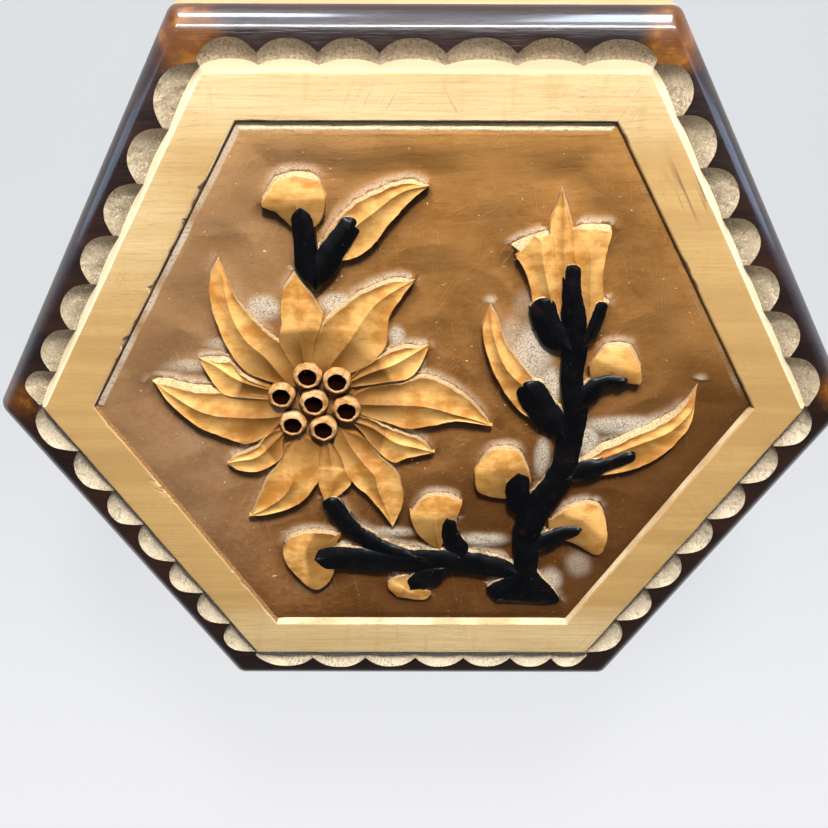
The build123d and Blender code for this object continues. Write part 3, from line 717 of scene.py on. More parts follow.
def carve(left, ridge, right, edge, crest, shade_paint=((0, 0), (1, 0)), scoop=0.35, band=0.95, within=True,
          rooted=0.0, seed=0.0):
    """One carved form as points, faces and marks.

    edge and crest give the heights of the outline and of the ridge over the field as stops
    along the form, shade_paint how dark it is painted there as shade. scoop is how deep each
    facet is hollowed, or rounded where it is negative. band is the width of wall that shows where
    it faces the back: there the outline is the wall's foot, or its top edge too where the band
    isn't within it. The marks carry painted light: pale bare wall and a painted highlight where
    the form faces the light, and painted shade inside a lit edge and on facets that face away.
    Up to the share rooted the form grows out of others and shows no bare wall.
    """
    spacing, fewest = 0.36, 14
    length = sum((Vector(after) - Vector(here)).length for here, after in zip(left, left[1:]))
    count = max(fewest, int(length / spacing))
    middle = smooth_line([left[0], *ridge, left[-1]], count)
    sides = [smooth_line(left, count), smooth_line(right, count)]
    heading = middle[-1] - middle[0]
    apart = sum((here - there for here, there in zip(*sides)), Vector((0, 0)))
    if apart.dot(Vector((-heading.y, heading.x))) < 0:
        sides.reverse()
    # Painted shade across a facet, from its edge to the ridge: just inside an edge that faces the
    # light, and growing towards the ridge on a side that faces away.
    spread = (0.0, 0.05, 0.2, 0.4, 0.6, 0.8, 0.94)
    painted_edge_shade = (0.0, 0.46, 0.40, 0.16, 0.0, 0.0, 0.0)
    shaded = (0.0, 0.0, 0.06, 0.14, 0.24, 0.32, 0.40)
    rows = []
    tip = (middle[-1] - middle[-2]).normalized()
    brow = middle[-1] - tip * (band * max(0.0, tip.y) if within else 0.0)

    def held(spot):
        """Keeps a point of the top behind the brow of the form's tip."""
        past = (spot - brow).dot(tip)
        return spot - tip * (0.95 * past) if past > 0 else spot

    for step in range(count):
        share = step / (count - 1)
        low, high = by_share(edge, share), by_share(crest, share)
        dark = by_share(shade_paint, share)
        ease = min(1.0, 4 * share, 4 * (1 - share))
        across = sides[0][step] - sides[1][step]
        width = across.length
        ridge_spot = held(middle[step])
        row = []
        for line, sign in zip(sides, (1, -1)):
            run = (line[min(count - 1, step + 1)] - line[max(0, step - 1)]).normalized()
            out = Vector((-run.y, run.x)) * sign
            if step == 0:
                out = (middle[0] - middle[1]).normalized()
            if step == count - 1:
                out = (middle[-1] - middle[-2]).normalized()
            spot = line[step]
            rag = 0.10 * wobble(spot.x, spot.y, seed, 0.7) + 0.10 * wobble(spot.x, spot.y, seed, 2.0)
            back = max(0.0, out.y)
            spot = spot + out * rag * ease * (1.0 + back)
            steep = abs(out.dot(across)) / max(1e-6, width)
            room = max(0.0, (spot - middle[step]).dot(out))
            shift = min(band * back, 0.45 * width / max(0.05, steep), 0.7 * room + (1 - steep) * band)
            # lit weights the painted light: pale bare wall and a painted highlight where the outline
            # faces the light, and none where it faces away.
            lit = max(0.05, min(1.0, 0.30 + 1.1 * out.y))
            if share < rooted:
                lit *= (share / rooted) ** 2
            top = held(spot - out * shift) if within else spot
            foot = spot if within else spot + out * (band * back)
            top_x, top_y, _ = settle(top.x, top.y, low)
            foot_x, foot_y, _ = settle(foot.x, foot.y, 0.0)
            blend = min(1.0, 3 * back)
            spare = 0.15 + 0.12 * wobble(spot.x, spot.y, seed + 5, 1.6)
            foot_x = top_x + out.x * spare + (foot_x - top_x - out.x * spare) * blend
            foot_y = top_y + out.y * spare + (foot_y - top_y - out.y * spare) * blend
            column = []
            for depth, reach in ((-0.6, 1.25), (0.0, 1.0), (0.45, 0.55), (0.8, 0.2), (0.94, 0.04)):
                height = low * depth if depth > 0 else depth
                tear = 0.0
                if 0 < depth < 0.9:
                    tear = 0.09 * wobble(spot.x, spot.y, 9 * depth + seed, 0.6)
                column.append((top_x + (foot_x - top_x) * reach + out.x * tear,
                               top_y + (foot_y - top_y) * reach + out.y * tear,
                               field_level + height, lit, 0.0, dark))
            if step % 2 == 0:
                outline_points.append((foot_x, foot_y, out.x, out.y))
            for part, edge_shade_here, painted_shade in zip(spread, painted_edge_shade, shaded):
                height = low + (high - low) * part - scoop * ease * 4 * part * (1 - part)
                height += 0.035 * wobble(spot.x + part * 4, spot.y, seed, 1.8)
                place = top.lerp(ridge_spot, part)
                painted_glow = lit if part == 0 else max(0.0, 1 - part / 0.12) * 0.6 * lit
                shade_mark = min(1.0, dark + edge_shade_here * back * ease + painted_shade * max(0.0, -out.y))
                column.append((*settle(place.x, place.y, height), 0.35 * lit if part == 0 else 0.0,
                               painted_glow, shade_mark))
            row.append(column)
        # The ridge gets a painted highlight, less where the form is painted dark.
        crown = (*settle(ridge_spot.x, ridge_spot.y, high), 0.0, 0.45 * (1 - dark), dark)
        rows.append(row[0] + [crown] + row[1][::-1])
    points = [spot[:3] for row in rows for spot in row]
    marks = [spot[3:] for row in rows for spot in row]
    return points, tube(count, len(rows[0])), marks


def form(root, tip, left, ridge, right, **more):
    """One form of the spray from its root, its tip, and the points between them of its left
    outline, its ridge and its right outline."""
    return dict(left=[root, *left, tip], ridge=ridge, right=[root, *right, tip], **more)


def carved_piece(name, groups, finish, sharp=24.0):
    """Carved forms of the spray in one piece, in groups that share their heights."""
    points, faces, marks = [], [], []
    forms = [{**heights, **shape} for heights, group in groups for shape in group]
    for seed, shape in enumerate(forms):
        more, sheets, tints = carve(seed=3.7 * seed, **shape)
        start = len(points)
        points += more
        marks += tints
        faces += [tuple(start + corner for corner in face) for face in sheets]
    piece = make_object(name, points, faces, [finish], sharp, marks=marks)
    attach(piece, "lid")
    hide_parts("lid_board")


def honey_wood():
    """Amber stained limewood: painted darker as shade in the low parts and on facets that face
    away from the light, cream where the knife left an edge, with a painted highlight where it
    faces the light, and pale torn fibres down the walls that face the light; walls that face
    away keep the amber as painted shade."""
    finish = Finish("honey_stain")
    bands, fibres, pores = wood(finish, 0.0, (3, 11, 5))
    wall, painted_glow, shade_paint = [finish.mark(channel) for channel in range(3)]
    patch = finish.noise((4.0, 3.0, 5), detail=4, rough=0.6)
    fibre = finish.noise((0.5, 0.30, 0.24), detail=4, rough=0.7)
    bare = finish.mix(fibre.step(0.46, 0.68), (220, 192, 148), (146, 110, 72))
    # Painted light from the marks: the third mark is painted shade, the second a painted highlight,
    # and the pale bare wall shows only where the first says the wall faces the light.
    colour = finish.paint(
        finish.mix((patch * 0.6 + bands * 0.4).step(0.38, 0.60), (190, 128, 50), (244, 192, 114)),
        (fibres.step(0.46, 0.74) * 0.38, (204, 132, 52)),
        (shade_paint, (122, 80, 24)),
        (pores * 0.25, (120, 70, 24)),
        ((painted_glow * (0.5 + fibre)).step(0.28, 0.75) * 0.7, (255, 216, 148)),
        (wall.step(0.30, 0.75), bare))
    return finish.surface(colour, 0.46 + fibres * 0.2 + wall * 0.3,
                          fibres * 0.35 + fibre * wall * 2.4, 0.09, Specular_IOR_Level=0.2)


honey = honey_wood()


# The six long petals of the mountain flower. Each grows out of the heart in a low root painted dark
# as shade, rises to a ridge, and is cut at the tip like a leaf.
long_heights = dict(
    edge=((0, 0.4), (0.12, 0.9), (0.4, 1.75), (0.8, 1.9), (1, 1.7)),
    crest=((0, 0.5), (0.12, 1.1), (0.5, 2.44), (1, 1.8)),
    shade_paint=((0, 1.0), (0.12, 0.85), (0.34, 0.50), (0.42, 0.10), (1, 0.0)), rooted=0.38)
long_petals = [
    form((-20, 3.5), (-31.4, 26.8),
         [(-25, 4.6), (-29, 6.6), (-31.8, 11.7), (-33.4, 18.9), (-33, 24)],
         [(-22.1, 4.2), (-25.4, 8.9), (-28.2, 11.7), (-29.9, 15), (-31, 19.7)],
         [(-20.4, 7.5), (-22.6, 11.9), (-26.6, 16.1), (-29.2, 20), (-30.4, 23.6)]),
    form((-16.4, 4.5), (-1.4, 22.7),
         [(-18.5, 8.9), (-16.4, 15.3), (-13.5, 18.2), (-9.5, 21.2), (-4.5, 23.2)],
         [(-15.4, 7.2), (-12, 12), (-8, 18), (-4.6, 20.8)],
         [(-12.2, 6), (-7.6, 9), (-6.1, 11.5), (-5.6, 16), (-3.6, 19.6)]),
    form((-13.4, 1), (11.5, -3.9), [(-9.5, 4.2), (-4, 5.2), (0.3, 6.3), (5.8, 3.5), (10, -0.9)],
         [(-11.4, 0.4), (-0.6, 0), (2.5, -0.7), (5, -1.6), (8.5, -2.6)],
         [(-10.3, -1.6), (-6.1, -3.2), (-2.5, -4.4), (1, -3.8), (5.8, -2.9)]),
    form((-15, -3.5), (-5.3, -24.8),
         [(-10.6, -5), (-7, -9.2), (-4.6, -12.2), (-3.5, -16.8), (-3.6, -20.1)],
         [(-13.9, -4.3), (-12.5, -7.6), (-10.3, -11.2), (-8.3, -14), (-7.8, -16.8), (-6.7, -20.1)],
         [(-15, -7.9), (-13.8, -12), (-11.7, -15.9), (-9.7, -17.9), (-7.2, -21.5)]),
    form((-20.5, -4.5), (-30.6, -22.6),
         [(-17.2, -8), (-17.4, -13), (-18.6, -15.9), (-21.6, -19.8), (-26.6, -22)],
         [(-21.8, -8.2), (-22.9, -11.8), (-22.6, -15), (-24.0, -18.0), (-27.4, -20.8)],
         [(-23.4, -7.3), (-24.8, -10.4), (-26.6, -13.2), (-28.8, -18.2)]),
    form((-22.5, 0), (-43.8, 4.3), [(-26, 1.8), (-31, 2.4), (-37.7, 2.6), (-41, 3.6)],
         [(-24.1, -2.1), (-33.5, -2.1), (-36.8, -1.2), (-39.1, 0.2), (-42.0, 2.6)],
         [(-25, -4.6), (-29.6, -7.4), (-34.1, -5.9), (-37.7, -4), (-42, 0.6)], band=1.9,
         within=False),
]
carved_piece("long_petals", [(long_heights, long_petals)], honey)


# The six short petals fill the gaps between the long ones and are painted dark for half
# their length, as the shade of the long ones.
short_heights = dict(
    edge=((0, 0.4), (0.12, 0.9), (0.5, 2.05), (1, 1.5)),
    crest=((0, 0.5), (0.12, 1.1), (0.5, 2.44), (1, 1.7)),
    shade_paint=((0, 1.0), (0.12, 0.85), (0.46, 0.70), (0.49, 0.05), (1, 0.0)), rooted=0.45)
short_petals = [
    form((-19.2, 4), (-20, 24.4), [(-21.6, 8.3), (-23.1, 11.9), (-22.6, 16), (-22.1, 21.1)],
         [(-19.4, 9), (-19.8, 13.9), (-19.5, 19.8)],
         [(-17.9, 8.9), (-17.2, 12.5), (-16.2, 15.6), (-16.8, 19.2)]),
    form((-14, 3.4), (0.9, 11.5), [(-10.3, 7.7), (-6.4, 10.4), (-2.8, 11.7)],
         [(-9, 6.1), (-5, 7.7), (-1.6, 9.8)], [(-9.7, 3.9), (-5.6, 4.6), (-2.2, 5.4), (-0.2, 8.6)]),
    form((-13.6, -2.4), (1.9, -9.1), [(-10, -1.2), (-6.1, -3.2), (-2.2, -5), (0, -6.2)],
         [(-9, -4), (-4.6, -7.2), (-1.2, -8.2)],
         [(-11.1, -4), (-8.3, -8.2), (-5.1, -11.1), (-2.6, -10.2)]),
    form((-16.6, -5), (-16.4, -19.8), [(-14.6, -7.9), (-13.4, -11.2), (-12.4, -15.4), (-14, -17.4)],
         [(-16, -9), (-15.6, -14), (-16, -17.2)], [(-17.8, -9.6), (-18, -15.5), (-17.4, -18.4)]),
    form((-22, -3.6), (-33.4, -11.4), [(-25.6, -4.3), (-28.2, -7.3), (-32.1, -9.3)],
         [(-25.4, -7.4), (-28.4, -10.2), (-31.4, -10.9)],
         [(-23.6, -6.5), (-24, -10.1), (-28.2, -13), (-31.8, -12.7)]),
    form((-22.4, 2.6), (-36.4, 9), [(-25.2, 4.4), (-29.3, 6.9), (-31, 9.2), (-33.8, 9.6)],
         [(-26.6, 3.4), (-30.5, 5), (-33.6, 7.4)],
         [(-25.2, 1.4), (-29.3, 1.5), (-32.4, 2), (-33.8, 3.3)], band=1.5),
]
carved_piece("short_petals", [(short_heights, short_petals)], honey)


# Three leaves with a cut midrib, and the seven round buds that end the branches. A bud is
# painted darkest at its foot, as the shade where its sepal lies over it.
leaf_heights = dict(edge=((0, 1.2), (0.5, 1.8), (1, 1.6)), crest=((0, 1.5), (0.5, 2.4), (1, 1.8)),
                    shade_paint=((0, 0.3), (1, 0.0)), band=0.85)
bud_heights = dict(edge=((0, 1.2), (0.5, 1.9), (1, 1.7)), crest=((0, 1.3), (0.62, 2.4), (1, 1.8)),
                   shade_paint=((0, 0.75), (0.5, 0.5), (0.56, 0.0), (1, 0.0)), scoop=-0.15, band=1.1)
leaves = [
    form((-16, 26.5), (0.6, 37.6), [(-15, 30.4), (-11, 35), (-6, 37.8), (-2.2, 38.8)],
         [(-12, 30), (-8, 33.2), (-3.4, 36.6)],
         [(-12.2, 25.8), (-8.5, 27.7), (-5.5, 31.5), (-2, 35.5)]),
    form((21, -3), (10.2, 19.1), [(16.6, -1.6), (12.6, 3.9), (10, 10), (9.2, 15)],
         [(18, 2), (13.6, 6.6), (11.4, 11.4), (10.4, 16)],
         [(22, 1), (18, 5.7), (13, 12.5), (11.6, 16.4)]),
    form((25.8, -14), (44.6, 3.4), [(28.4, -10.2), (34.4, -6.5), (40.2, -3.2), (43.2, 0.2)],
         [(30, -10.6), (36.6, -7.3), (41.4, -4.8), (44.4, -0.6)],
         [(30, -13.8), (36, -12.4), (40.5, -9.6), (44.4, -3.9)], band=2.3, within=False),
]
buds = [
    form((-19, 30), (-18.8, 40), [(-22, 33.2), (-24.4, 34.5), (-22.8, 38.2), (-20.9, 39.6)],
         [(-19, 34), (-19.2, 37.4)], [(-16, 31.8), (-14.9, 35.3), (-15.5, 38.7), (-16.8, 39.8)]),
    form((28, 3), (30.9, 12.3), [(26.8, 7), (27.5, 10), (28.8, 11.8)], [(30, 6.4), (30.9, 9.6)],
         [(33, 4.4), (35.3, 4.3), (35.1, 7.5), (34, 10.2), (32.8, 11.8)]),
    form((16, -18.5), (13.7, -7.2),
         [(13.5, -18.6), (9.7, -17.2), (9, -13), (9.9, -9.8), (11.5, -7.8)],
         [(14.4, -15), (13.8, -10.6)], [(18.6, -15), (17.2, -9.8), (15.8, -7.8)]),
    form((3, -30), (2.4, -17), [(-0.6, -26.8), (-2.2, -21.8), (-0.9, -18.9), (0.5, -17.4)],
         [(2.4, -24), (2.6, -20)], [(6, -22.8), (6.8, -18.9), (4.7, -17.3)]),
    form((23, -27), (28.4, -18.6), [(22.3, -23.2), (24.5, -20.2), (26.2, -19)],
         [(26.4, -24.4), (29.6, -22.6)],
         [(27, -28.4), (31.7, -31.1), (33, -26.8), (31.9, -21.6), (30.6, -19.2)]),
    form((-16.5, -31), (-25.2, -30),
         [(-15, -27.4), (-14.6, -26), (-19.6, -24.9), (-23.6, -26.2), (-24.9, -28)],
         [(-19.6, -30), (-22.6, -31)],
         [(-16.2, -35.6), (-19.5, -39.3), (-23.4, -35.4), (-24.8, -32.6)]),
    form((-1.6, -36), (-4.6, -41), [(-3, -34.7), (-5.5, -36), (-6.3, -38.4)],
         [(-3.2, -38), (-3.6, -39.4)], [(1.7, -39.8), (0.4, -41.6)]),
]
carved_piece("leaves_and_buds", [(leaf_heights, leaves), (bud_heights, buds)], honey)


# The bellflower: two outer petals with a narrow, longer one between them, which open towards
# the lid's back edge.
# The bells are painted darker towards their foot, as shade.
bell_heights = dict(edge=((0, 1.0), (0.6, 1.8), (1, 1.8)), crest=((0, 1.4), (0.7, 2.4), (1, 2.3)),
                    shade_paint=((0, 0.55), (0.6, 0.12), (1, 0.0)), band=1.1)
bells = [
    form((22.4, 12), (16, 30.2),
         [(17.8, 15.4), (16.9, 19), (15.5, 23.9), (13.1, 27.4), (12.5, 28.4), (13.2, 29.1)],
         [(20.4, 17), (18.4, 24), (17.4, 29)], [(22, 16), (20.8, 23), (19.5, 30), (18.6, 30.9)]),
    form((25, 11.5), (25.6, 32), [(23.6, 18), (23, 25), (22.4, 31), (23.4, 31.9)],
         [(25.8, 17), (25.4, 24), (25.2, 30)],
         [(27.6, 15), (28, 18.6), (27.4, 25), (28.2, 31), (27.8, 32)]),
    form((23.4, 12), (20, 37.9), [(20.9, 18), (19.4, 26), (18.8, 32)],
         [(22.3, 17), (21.2, 26), (20.6, 33)], [(24.2, 18), (23.4, 26), (22.2, 31.6)]),
]
carved_piece("bellflower", [(bell_heights, bells)], honey)


# Stems and sepals are the same carving under blue-black lacquer, thick and glossy on top and
# thin on the walls, where bare wood shows through in places. The bare wood is shown only on
# walls that face the light, as painted light.
def along_path(path, widths):
    """The two outlines of a stem along a path, with half its width at each inner point and a
    round end."""
    end = Vector(path[-1])
    run = (end - Vector(path[-2])).normalized()
    caps = [tuple(end - run * widths[-1] * back) for back in (0.6, 0.15)]
    path = [*path[:-1], *caps, path[-1]]
    widths = [*widths, 0.91 * widths[-1], 0.53 * widths[-1]]
    left, right = [], []
    for before, here, after, width in zip(path, path[1:], path[2:], widths):
        run = Vector((after[0] - before[0], after[1] - before[1])).normalized()
        left.append((here[0] - run.y * width, here[1] + run.x * width))
        right.append((here[0] + run.y * width, here[1] - run.x * width))
    return form(path[0], path[-1], left, path[1:-1], right)


stem_paths = [
    ([(24.4, 16), (24.3, 11.5), (24.1, 5), (25.2, -1), (24.6, -8), (23.6, -14),
      (20.4, -20), (18.6, -26), (18.8, -33), (18.4, -41)], [1.8, 1.8, 2, 2.1, 2.4, 2.6, 2.4, 2.2]),
    ([(18.6, -36), (15, -34.4), (8, -32.8), (0, -32.6), (-8, -32.4), (-14, -31.8), (-19.6, -32.2)],
     [2, 2.4, 2.6, 2.4, 2.5]),
    ([(2, -32), (-4, -31), (-9, -28.4), (-12.8, -25), (-16.6, -18.6)], [1.6, 1.7, 1.7]),
    ([(8, -33), (6.4, -29.6), (4.9, -26.6), (4.2, -22.8)], [1.9, 1.6]),
    ([(5, -33.6), (2, -35.6), (-0.4, -37.2), (-2.4, -39.6)], [2.2, 2.0]),
    ([(18.8, -24), (17.2, -20.4), (16.4, -17.2), (16.4, -13.2)], [1.9, 2.1]),
    ([(19, -31), (21.8, -28.2), (24.4, -26.4), (28.4, -25.2)], [1.8, 1.6]),
    ([(25.2, -2), (26.8, 2), (29, 4.6), (33.2, 5.0)], [1.7, 1.5]),
    ([(24.4, -7), (21.6, -3.2), (19, 0.4), (16.4, 4.6)], [2.2, 2.5]),
    ([(24, -15), (27.6, -12.9), (30.8, -11.6), (36.0, -9.2)], [2.2, 1.5]),
    ([(-17, 20.4), (-18.0, 24.4), (-18.2, 29), (-18.6, 34.2)], [1.7, 1.7]),
    ([(-17, 20.4), (-15.6, 24.6), (-13.6, 28), (-10.5, 32.4)], [1.9, 1.8]),
    ([(24.2, 10), (21.2, 12.4), (19.2, 15.4), (18.0, 19.6)], [2.1, 2.1]),
    ([(24.2, 10), (23.7, 15), (22.8, 20.5), (22.5, 25.2)], [1.9, 1.5]),
    ([(24.6, 10), (26.2, 12.8), (27.1, 15.6), (27.8, 19)], [1.0, 1.05]),
]
stem_foot = form((19, -33), (13.6, -42), [(15.6, -36), (12, -38.8)], [(18.4, -37.4), (18.2, -40)],
                 [(21.4, -35.6), (25.4, -42.2)])
stem_heights = dict(edge=((0, 1.6), (0.5, 1.7), (1, 1.8)), crest=((0, 2.2), (0.5, 2.3), (1, 2.4)),
                    scoop=-0.12, band=1.0, within=False)


def stem_lacquer():
    """Blue-black lacquer, ridged by the knife beneath it, worn to bare wood on the walls; the bare
    wood shows only where a wall faces the light, as painted light.
    """
    finish = Finish("stem_lacquer")
    wall = finish.mark(0)
    cloud = finish.noise((4, 4), detail=4, rough=0.6)
    rust = finish.noise((2.4, 2.4), detail=3).step(0.58, 0.72)
    fibre = finish.noise((0.55, 0.30, 0.26), detail=4, rough=0.7)
    thin = finish.noise((3.0, 3.0), detail=3).step(0.42, 0.60)
    speck = finish.noise((0.45, 0.35), detail=2).step(0.72, 0.78)
    bare = finish.mix(fibre.step(0.44, 0.64), (240, 214, 172), (120, 90, 62))
    colour = finish.paint(
        finish.mix(cloud.step(0.4, 0.7), (3, 4, 5), (9, 9, 15)),
        (rust * 0.4, (44, 22, 20)),
        ((wall * (0.62 + thin * 0.6)).step(0.45, 0.78) * 0.9, bare),
        (speck * 0.5, (150, 140, 130)))
    return finish.surface(colour, 0.30 + cloud * 0.2 + wall * 0.35, cloud * 1.5 + fibre * 0.5, 0.10,
                          Specular_IOR_Level=0.08, Coat_Weight=0.12, Coat_Roughness=0.2)


stems = [along_path(*stem) for stem in stem_paths] + [stem_foot]
carved_piece("stems", [(stem_heights, stems)], stem_lacquer(), 40)


# The flower's heart: seven small domes left between the petals, each drilled down the middle.
# The drill has torn the wood, so their rims are ragged; the holes and the foot of each dome are
# painted near black as their shade.
stamen_places = [(-18.2, 0.1), (-19, 5.2), (-14.2, 4.3), (-12.8, -1.2), (-16.8, -4.9), (-21.9, -4),
                 (-23.5, 1.5)]


def grow(tree, kind, settings=None, inputs=None):
    """One geometry node; inputs are sockets to link or values to set."""
    node = tree.nodes.new(kind)
    for name, value in (settings or {}).items():
        setattr(node, name, value)
    for name, value in (inputs or {}).items():
        if isinstance(value, bpy.types.NodeSocket):
            tree.links.new(value, node.inputs[name])
        else:
            node.inputs[name].default_value = value
    return node


def spread_copies(name, places, pattern, finish, smallest, seed, unevenness):
    """Copies of a pattern on given places, each a little turned and sized, as one plain mesh.
    smallest is the least size a copy gets, unevenness its roughness in millimetres."""
    tree = bpy.data.node_groups.new(name + "_layout", "GeometryNodeTree")
    tree.interface.new_socket("Geometry", in_out="INPUT", socket_type="NodeSocketGeometry")
    tree.interface.new_socket("Geometry", in_out="OUTPUT", socket_type="NodeSocketGeometry")
    values = {}
    for label, kind, value in (
            ("Pattern", "Object", pattern), ("Smallest", "Float", smallest), ("Seed", "Int", seed),
            ("Grain", "Float", 600.0), ("Unevenness", "Float", unevenness * mm)):
        socket = tree.interface.new_socket(label, in_out="INPUT", socket_type="NodeSocket" + kind)
        values[socket.identifier] = value
    entry = tree.nodes.new("NodeGroupInput")
    leave = tree.nodes.new("NodeGroupOutput")
    source = grow(tree, "GeometryNodeObjectInfo", None, {"Object": entry.outputs["Pattern"]})
    turn = grow(tree, "FunctionNodeRandomValue", {"data_type": "FLOAT"},
                {2: 0.0, 3: 2 * math.pi, "Seed": entry.outputs["Seed"]})
    lean = grow(tree, "ShaderNodeCombineXYZ", None, {"Z": turn.outputs[1]})
    size = grow(tree, "FunctionNodeRandomValue", {"data_type": "FLOAT"},
                {2: entry.outputs["Smallest"], 3: 1.0, "Seed": entry.outputs["Seed"]})
    copies = grow(tree, "GeometryNodeInstanceOnPoints", None, {
        "Points": entry.outputs["Geometry"], "Instance": source.outputs["Geometry"],
        "Rotation": lean.outputs[0], "Scale": size.outputs[1]})
    real = grow(tree, "GeometryNodeRealizeInstances", None, {"Geometry": copies.outputs[0]})
    rough = grow(tree, "ShaderNodeTexNoise", None, {"Scale": entry.outputs["Grain"], "Detail": 2.0})
    centred = grow(tree, "ShaderNodeVectorMath", {"operation": "SUBTRACT"},
                   {0: rough.outputs["Color"], 1: (0.5, 0.5, 0.5)})
    scaled = grow(tree, "ShaderNodeVectorMath", {"operation": "SCALE"},
                  {0: centred.outputs[0], "Scale": entry.outputs["Unevenness"]})
    moved = grow(tree, "GeometryNodeSetPosition", None,
                 {"Geometry": real.outputs[0], "Offset": scaled.outputs[0]})
    painted = grow(tree, "GeometryNodeSetMaterial", None,
                   {"Geometry": moved.outputs[0], "Material": finish})
    tree.links.new(painted.outputs[0], leave.inputs[0])
    mesh = bpy.data.meshes.new(name)
    mesh.from_pydata([tuple(part * mm for part in place) for place in places], [], [])
    piece = add_object(name, mesh)
    layout = piece.modifiers.new("layout", "NODES")
    layout.node_group = tree
    for identifier, value in values.items():
        layout[identifier] = value
    keep_result(piece, layout)
    piece.data.name = name
    outline = pattern.data
    bpy.data.objects.remove(pattern)
    bpy.data.meshes.remove(outline)
    return piece


def turned_pattern(name, profile, segments, ragged=0.0):
    """A shape turned about Z from (radius, height, dark) rows, closed at both ends."""
    points, marks = [], []
    for radius, height, dark in profile:
        for step in range(segments):
            angle = 2 * math.pi * step / segments
            rag = 1 + ragged * wobble(3 * math.cos(angle), 3 * math.sin(angle), height, 1.1)
            points.append((radius * rag * math.cos(angle), radius * rag * math.sin(angle), height))
            marks.append((0.0, 0.0, dark))
    return make_object(name, points, tube(len(profile), segments), [], 38, marks=marks)


def stamen_wood():
    """Honey wood painted near black as shade inside the drilled hole and round the dome's foot."""
    finish = Finish("drilled_wood")
    _, fibres, _ = wood(finish, 0.0, (3, 11, 5))
    patch = finish.noise((1.6, 1.2), detail=4, rough=0.6)
    painted_hole_shade = (finish.mark(2) + (patch - 0.5) * 0.3).step(0.25, 0.6)
    colour = finish.paint(
        finish.mix(patch.step(0.35, 0.66), (172, 120, 64), (230, 186, 138)),
        (fibres.step(0.46, 0.74) * 0.4, (176, 112, 50)),
        (painted_hole_shade, (22, 7, 3)))
    return finish.surface(colour, 0.95, fibres + patch, 0.14, Specular_IOR_Level=0.0)


# The third column is painted shade: full inside the hole, and part of it round the dome's foot.
stamen_profile = [
    (0.0, -0.9, 0.0), (2.6, -0.9, 0.4), (2.5, 0.2, 0.6), (2.42, 0.9, 0.45), (2.32, 1.45, 0.24),
    (2.16, 1.85, 0.0), (1.96, 2.1, 0.0), (1.78, 2.2, 0.0), (1.62, 2.16, 0.05), (1.54, 1.98, 0.4),
    (1.48, 1.7, 1.0), (1.46, 1.35, 1.0), (1.2, 1.15, 1.0), (0.6, 1.05, 1.0), (0.0, 1.0, 1.0),
]
stamens = spread_copies(
    "stamens", [settle(x, y, 2.2)[:2] + (field_level,) for x, y in stamen_places],
    turned_pattern("stamen", stamen_profile, 48, 0.07), stamen_wood(),
    smallest=0.94, seed=3, unevenness=0.17)
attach(stamens, "lid")
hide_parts("lid_board")


# The sunk field: the ground of the carving, stained brown and left a little uneven by the
# gouge, with pale dust and torn fibres where the light catches the foot of each form, and
# painted shadow on the ground below each form and round the flower's heart.
def lattice(corners, rings):
    """Points and triangles that fill a convex outline in rings round its middle."""
    count = len(corners)
    spots = [Vector(corner) for corner in corners]
    middle = sum(spots, Vector((0, 0))) / count
    points = [middle]
    starts = [0]
    for ring in range(1, rings + 1):
        starts.append(len(points))
        share = ring / rings
        for side in range(count):
            first = middle.lerp(spots[side], share)
            second = middle.lerp(spots[(side + 1) % count], share)
            for step in range(ring):
                points.append(first.lerp(second, step / ring))
    faces = []
    for ring in range(1, rings + 1):
        outer, inner = starts[ring], starts[ring - 1]
        total, less = count * ring, max(1, count * (ring - 1))
        for side in range(count):
            for step in range(ring):
                here = outer + side * ring + step
                after = outer + (side * ring + step + 1) % total
                below = inner + (side * (ring - 1) + step) % less
                faces.append((here, after, below))
                if step < ring - 1:
                    beyond = inner + (side * (ring - 1) + step + 1) % less
                    faces.append((after, beyond, below))
    return points, faces, starts[-1]


# Pale dust in the field: its middle, its reach along X and Y, how far the ground rises there,
# and how white it is.
dusty = [
    (-25.5, 17, 3.2, 2.6, 0.25, 0.9), (-13.8, 17.8, 3.2, 2.2, 0.25, 0.9),
    (-33.0, 10.6, 3.4, 1.4, 0.1, 0.6), (-38.5, 6.6, 5.6, 1.6, 0.1, 0.6),
    (-4.4, 12.2, 1.6, 2.2, 0.25, 0.8), (-0.8, 7.4, 1.3, 1.8, 0.2, 0.7),
    (17.2, 8.4, 4.4, 7.6, 0.75, 0.75), (20.6, 2.4, 2.2, 5.0, 0.6, 1.0),
    (14.0, 13.0, 2.6, 4.0, 0.5, 0.5), (34, -4.6, 8.0, 2.2, 0.45, 0.9),
    (28.0, -7.8, 2.2, 3.4, 0.4, 1.0), (20.4, -11, 1.7, 4.8, 0.6, 0.8),
    (-6.5, -27.2, 6.6, 1.5, 0.4, 0.7), (11, -28.8, 5.0, 2.0, 0.5, 0.8),
    (23.6, -38, 2.6, 3.6, 0.35, 0.7), (28.4, -34, 3.2, 3.4, 0.2, 0.45),
    (-40, -7, 5.0, 6.0, 0.0, 0.22), (-35, -13, 4.0, 4.0, 0.0, 0.22),
    (16, 18, 3.0, 3.6, 0.2, 0.4), (-20.0, -40.0, 6.0, 2.5, 0.0, 0.22),
]
heart = Vector((-18.0, 0.1))

# The ground's depth beside the spray, in the open, and at its edge along each side; and how
# bare the groove's slope is there. The slope is bare pale wood only on the back sides, where
# it faces the light; on the front sides it keeps the stain as painted shade.
ground_near, ground_open = -2.3, -1.3
edge_levels = {30: -0.58, 90: -0.55, 150: -0.6, 210: -0.9, 270: -0.9, 330: -0.9}
bare_slopes = {30: 0.36, 90: 1.0, 150: 0.66, 210: 0.0, 270: 0.0, 330: 0.0}

